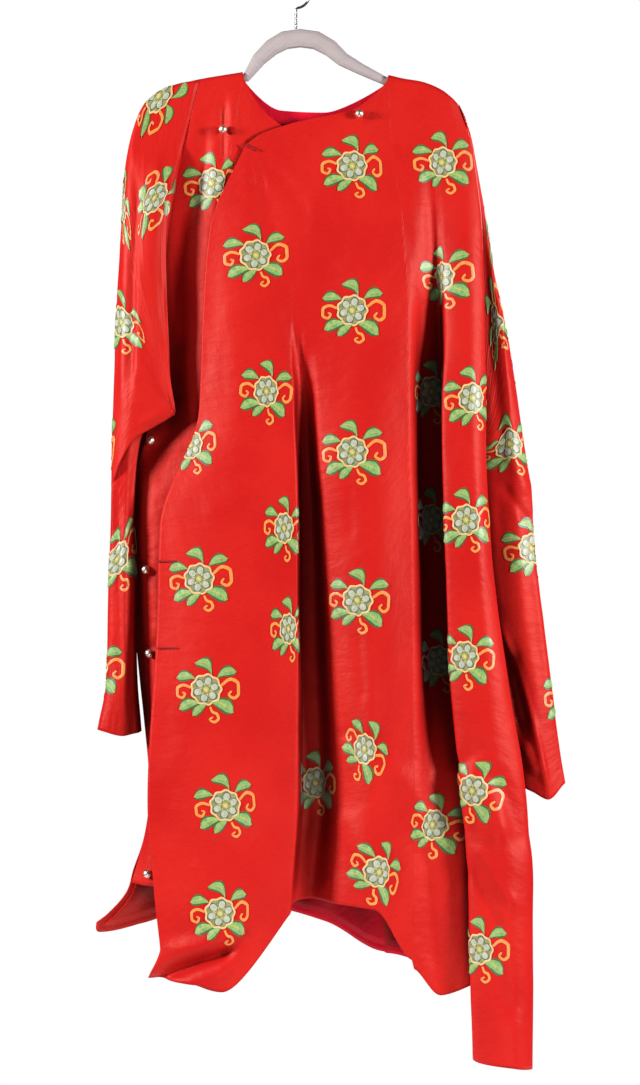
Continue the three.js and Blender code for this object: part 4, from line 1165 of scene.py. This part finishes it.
# ------------------------------------------------------------------ buttons
# Small cast metal balls with shallow ribs, each on a short shank that is sewn to the under front,
# and at the neck to the front.
def brushed(name, lit, deep, roughness):
    """Metal with fine scratches and a little tarnish."""
    shade = Shade(name, Metallic=1.0)
    place = shade.place("Object")
    tarnish = shade.noise(place, scale=260, detail=4)
    shade.set(Base_Color=shade.blend(tarnish.ramp(0.35, 0.65), deep, lit))
    shade.set(Roughness=roughness + tarnish * 0.15)
    shade.bump(shade.noise(place, scale=1500), distance=0.1 * MM, strength=0.4)
    return shade


button_shade = brushed("button_metal", (0.90, 0.76, 0.66), (0.66, 0.50, 0.40), 0.3)
BUTTON_RADIUS, RIBS, RIB_DEPTH = 6 * MM, 8, 0.035
SHANK_RADII, SHANK_LENGTH, SHANK_SUNK = (2.2 * MM, 1.6 * MM), 2.4 * MM, 0.4 * MM


def button(name):
    """A button round the middle of its solid, its shank towards the cloth."""
    low, high = (np.array(corner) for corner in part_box(name))
    bm = bmesh.new()
    made = bmesh.ops.create_uvsphere(bm, u_segments=32, v_segments=16, radius=BUTTON_RADIUS)["verts"]
    for vert in made:
        angle = math.atan2(vert.co.y, vert.co.x)
        belt = 1 - abs(vert.co.z) / BUTTON_RADIUS
        vert.co *= 1 + RIB_DEPTH * belt * math.cos(RIBS * angle)
    shank = bmesh.ops.create_cone(bm, cap_ends=True, segments=12, radius1=SHANK_RADII[0],
                                  radius2=SHANK_RADII[1], depth=SHANK_LENGTH)["verts"]
    bmesh.ops.translate(bm, verts=shank, vec=(0, 0, -BUTTON_RADIUS - SHANK_SUNK))
    bmesh.ops.rotate(bm, verts=bm.verts, matrix=Matrix.Rotation(math.pi / 2, 3, "X"))
    bmesh.ops.translate(bm, verts=bm.verts, vec=(low + high) / 2)
    for face in bm.faces:
        face.smooth = True
    piece = finished(name + "_ball", bm, [button_shade])
    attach(piece, "root")
    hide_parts(name)


for name in ("neck", "chest", "underarm", "waist", "hip", "vent"):
    button("button_" + name)


# ------------------------------------------------------------------ loops
# Thin rolled satin cords, sewn along the front's overlap beside its buttons. They keep the solids'
# own shape.
def dress(node, shade):
    """Gives a solid that is kept as it is its material."""
    materials = bpy.data.objects[node].data.materials
    materials.clear()
    materials.append(shade.material)


cord_shade = Shade("cord", Roughness=0.7, Specular_IOR_Level=0.15)
cord_place = cord_shade.place("Object")
cord_twist = cord_shade.noise(cord_place, scale=900)
cord_shade.set(Base_Color=cord_shade.blend(cord_twist, (0.16, 0.006, 0.010), (0.30, 0.012, 0.016)))
cord_shade.bump(cord_twist, distance=0.4 * MM, strength=0.8)
for name in ("loop_chest", "loop_waist", "loop_hip"):
    dress(name, cord_shade)


# ------------------------------------------------------------------ hanger and hook
# A contoured clothes hanger of moulded grey-mauve plastic with a high arched neck, and a plated
# wire hook that stands in its boss. Both keep the solids' own shape.
hanger_shade = Shade("hanger_plastic", Roughness=0.42, Coat_Weight=0.15, Coat_Roughness=0.3)
hanger_place = hanger_shade.place("Object")
hanger_cloud = hanger_shade.noise(hanger_place, scale=30, detail=3, stretch=(1, 1, 3))
hanger_shade.set(Base_Color=hanger_shade.blend(hanger_cloud, (0.30, 0.25, 0.25), (0.37, 0.31, 0.31)))
hanger_grain = hanger_shade.noise(hanger_place, scale=500, detail=3)
hanger_shade.bump(hanger_grain, distance=0.3 * MM, strength=0.4)
dress("hanger", hanger_shade)
dress("hook", brushed("hook_chrome", (0.90, 0.90, 0.92), (0.78, 0.78, 0.80), 0.08))


# ------------------------------------------------------------------ painted shade in the folds
# Painted shade: the base colour of the satin, the lining and the silk thread is darkened deep in the folds
# and behind the sleeves. Each cloth point keeps, as the attribute its materials read, the share of its
# outlook that other cloth shuts off.
PAINTED_SHADE_REACH, PAINTED_SHADE_LIFT = 220 * MM, 4 * MM
LOOKS, SOFTENINGS = 14, 6
GOLDEN_TURN = math.pi * (3 - math.sqrt(5))
cloth_pieces = [front, under_front, back, sleeve_right, sleeve_left]
stitched_pieces = [front_sprays, under_sprays, back_sprays, right_sprays, left_sprays]
looks = []
for number in range(LOOKS):
    spread = math.sqrt((number + 0.5) / LOOKS)
    looks.append(Vector((*at_turn(spread, number * GOLDEN_TURN), math.sqrt(1 - spread * spread))))
corners, faces = [], []
for piece in cloth_pieces:
    first = len(corners)
    corners += [vert.co.copy() for vert in piece.data.vertices]
    faces += [[first + corner for corner in face.vertices] for face in piece.data.polygons]
all_cloth = BVHTree.FromPolygons(corners, faces)
for piece in cloth_pieces + stitched_pieces + [back_lining]:
    mesh = piece.data
    side = -1 if piece == back_lining else 1
    shut = np.empty(len(mesh.vertices))
    for number, vert in enumerate(mesh.vertices):
        out = vert.normal * side
        turned = out.to_track_quat("Z", "Y").to_matrix()
        start = vert.co + out * PAINTED_SHADE_LIFT
        hits = [all_cloth.ray_cast(start, turned @ look, PAINTED_SHADE_REACH)[0] for look in looks]
        shut[number] = sum(hit is not None for hit in hits)
    one, two = np.array([edge.vertices[:] for edge in mesh.edges]).T
    meeting = np.bincount(np.concatenate([one, two]), minlength=len(shut)).clip(1)
    for _ in range(SOFTENINGS):
        around = np.bincount(one, shut[two], len(shut)) + np.bincount(two, shut[one], len(shut))
        shut = (shut + around / meeting) / 2
    # The painted shade's share, from 0 to 1, for the materials to read.
    painted_shade = mesh.attributes.new("painted_shade", "FLOAT", "POINT")
    painted_shade.data.foreach_set("value", (shut / LOOKS).astype(np.float32))
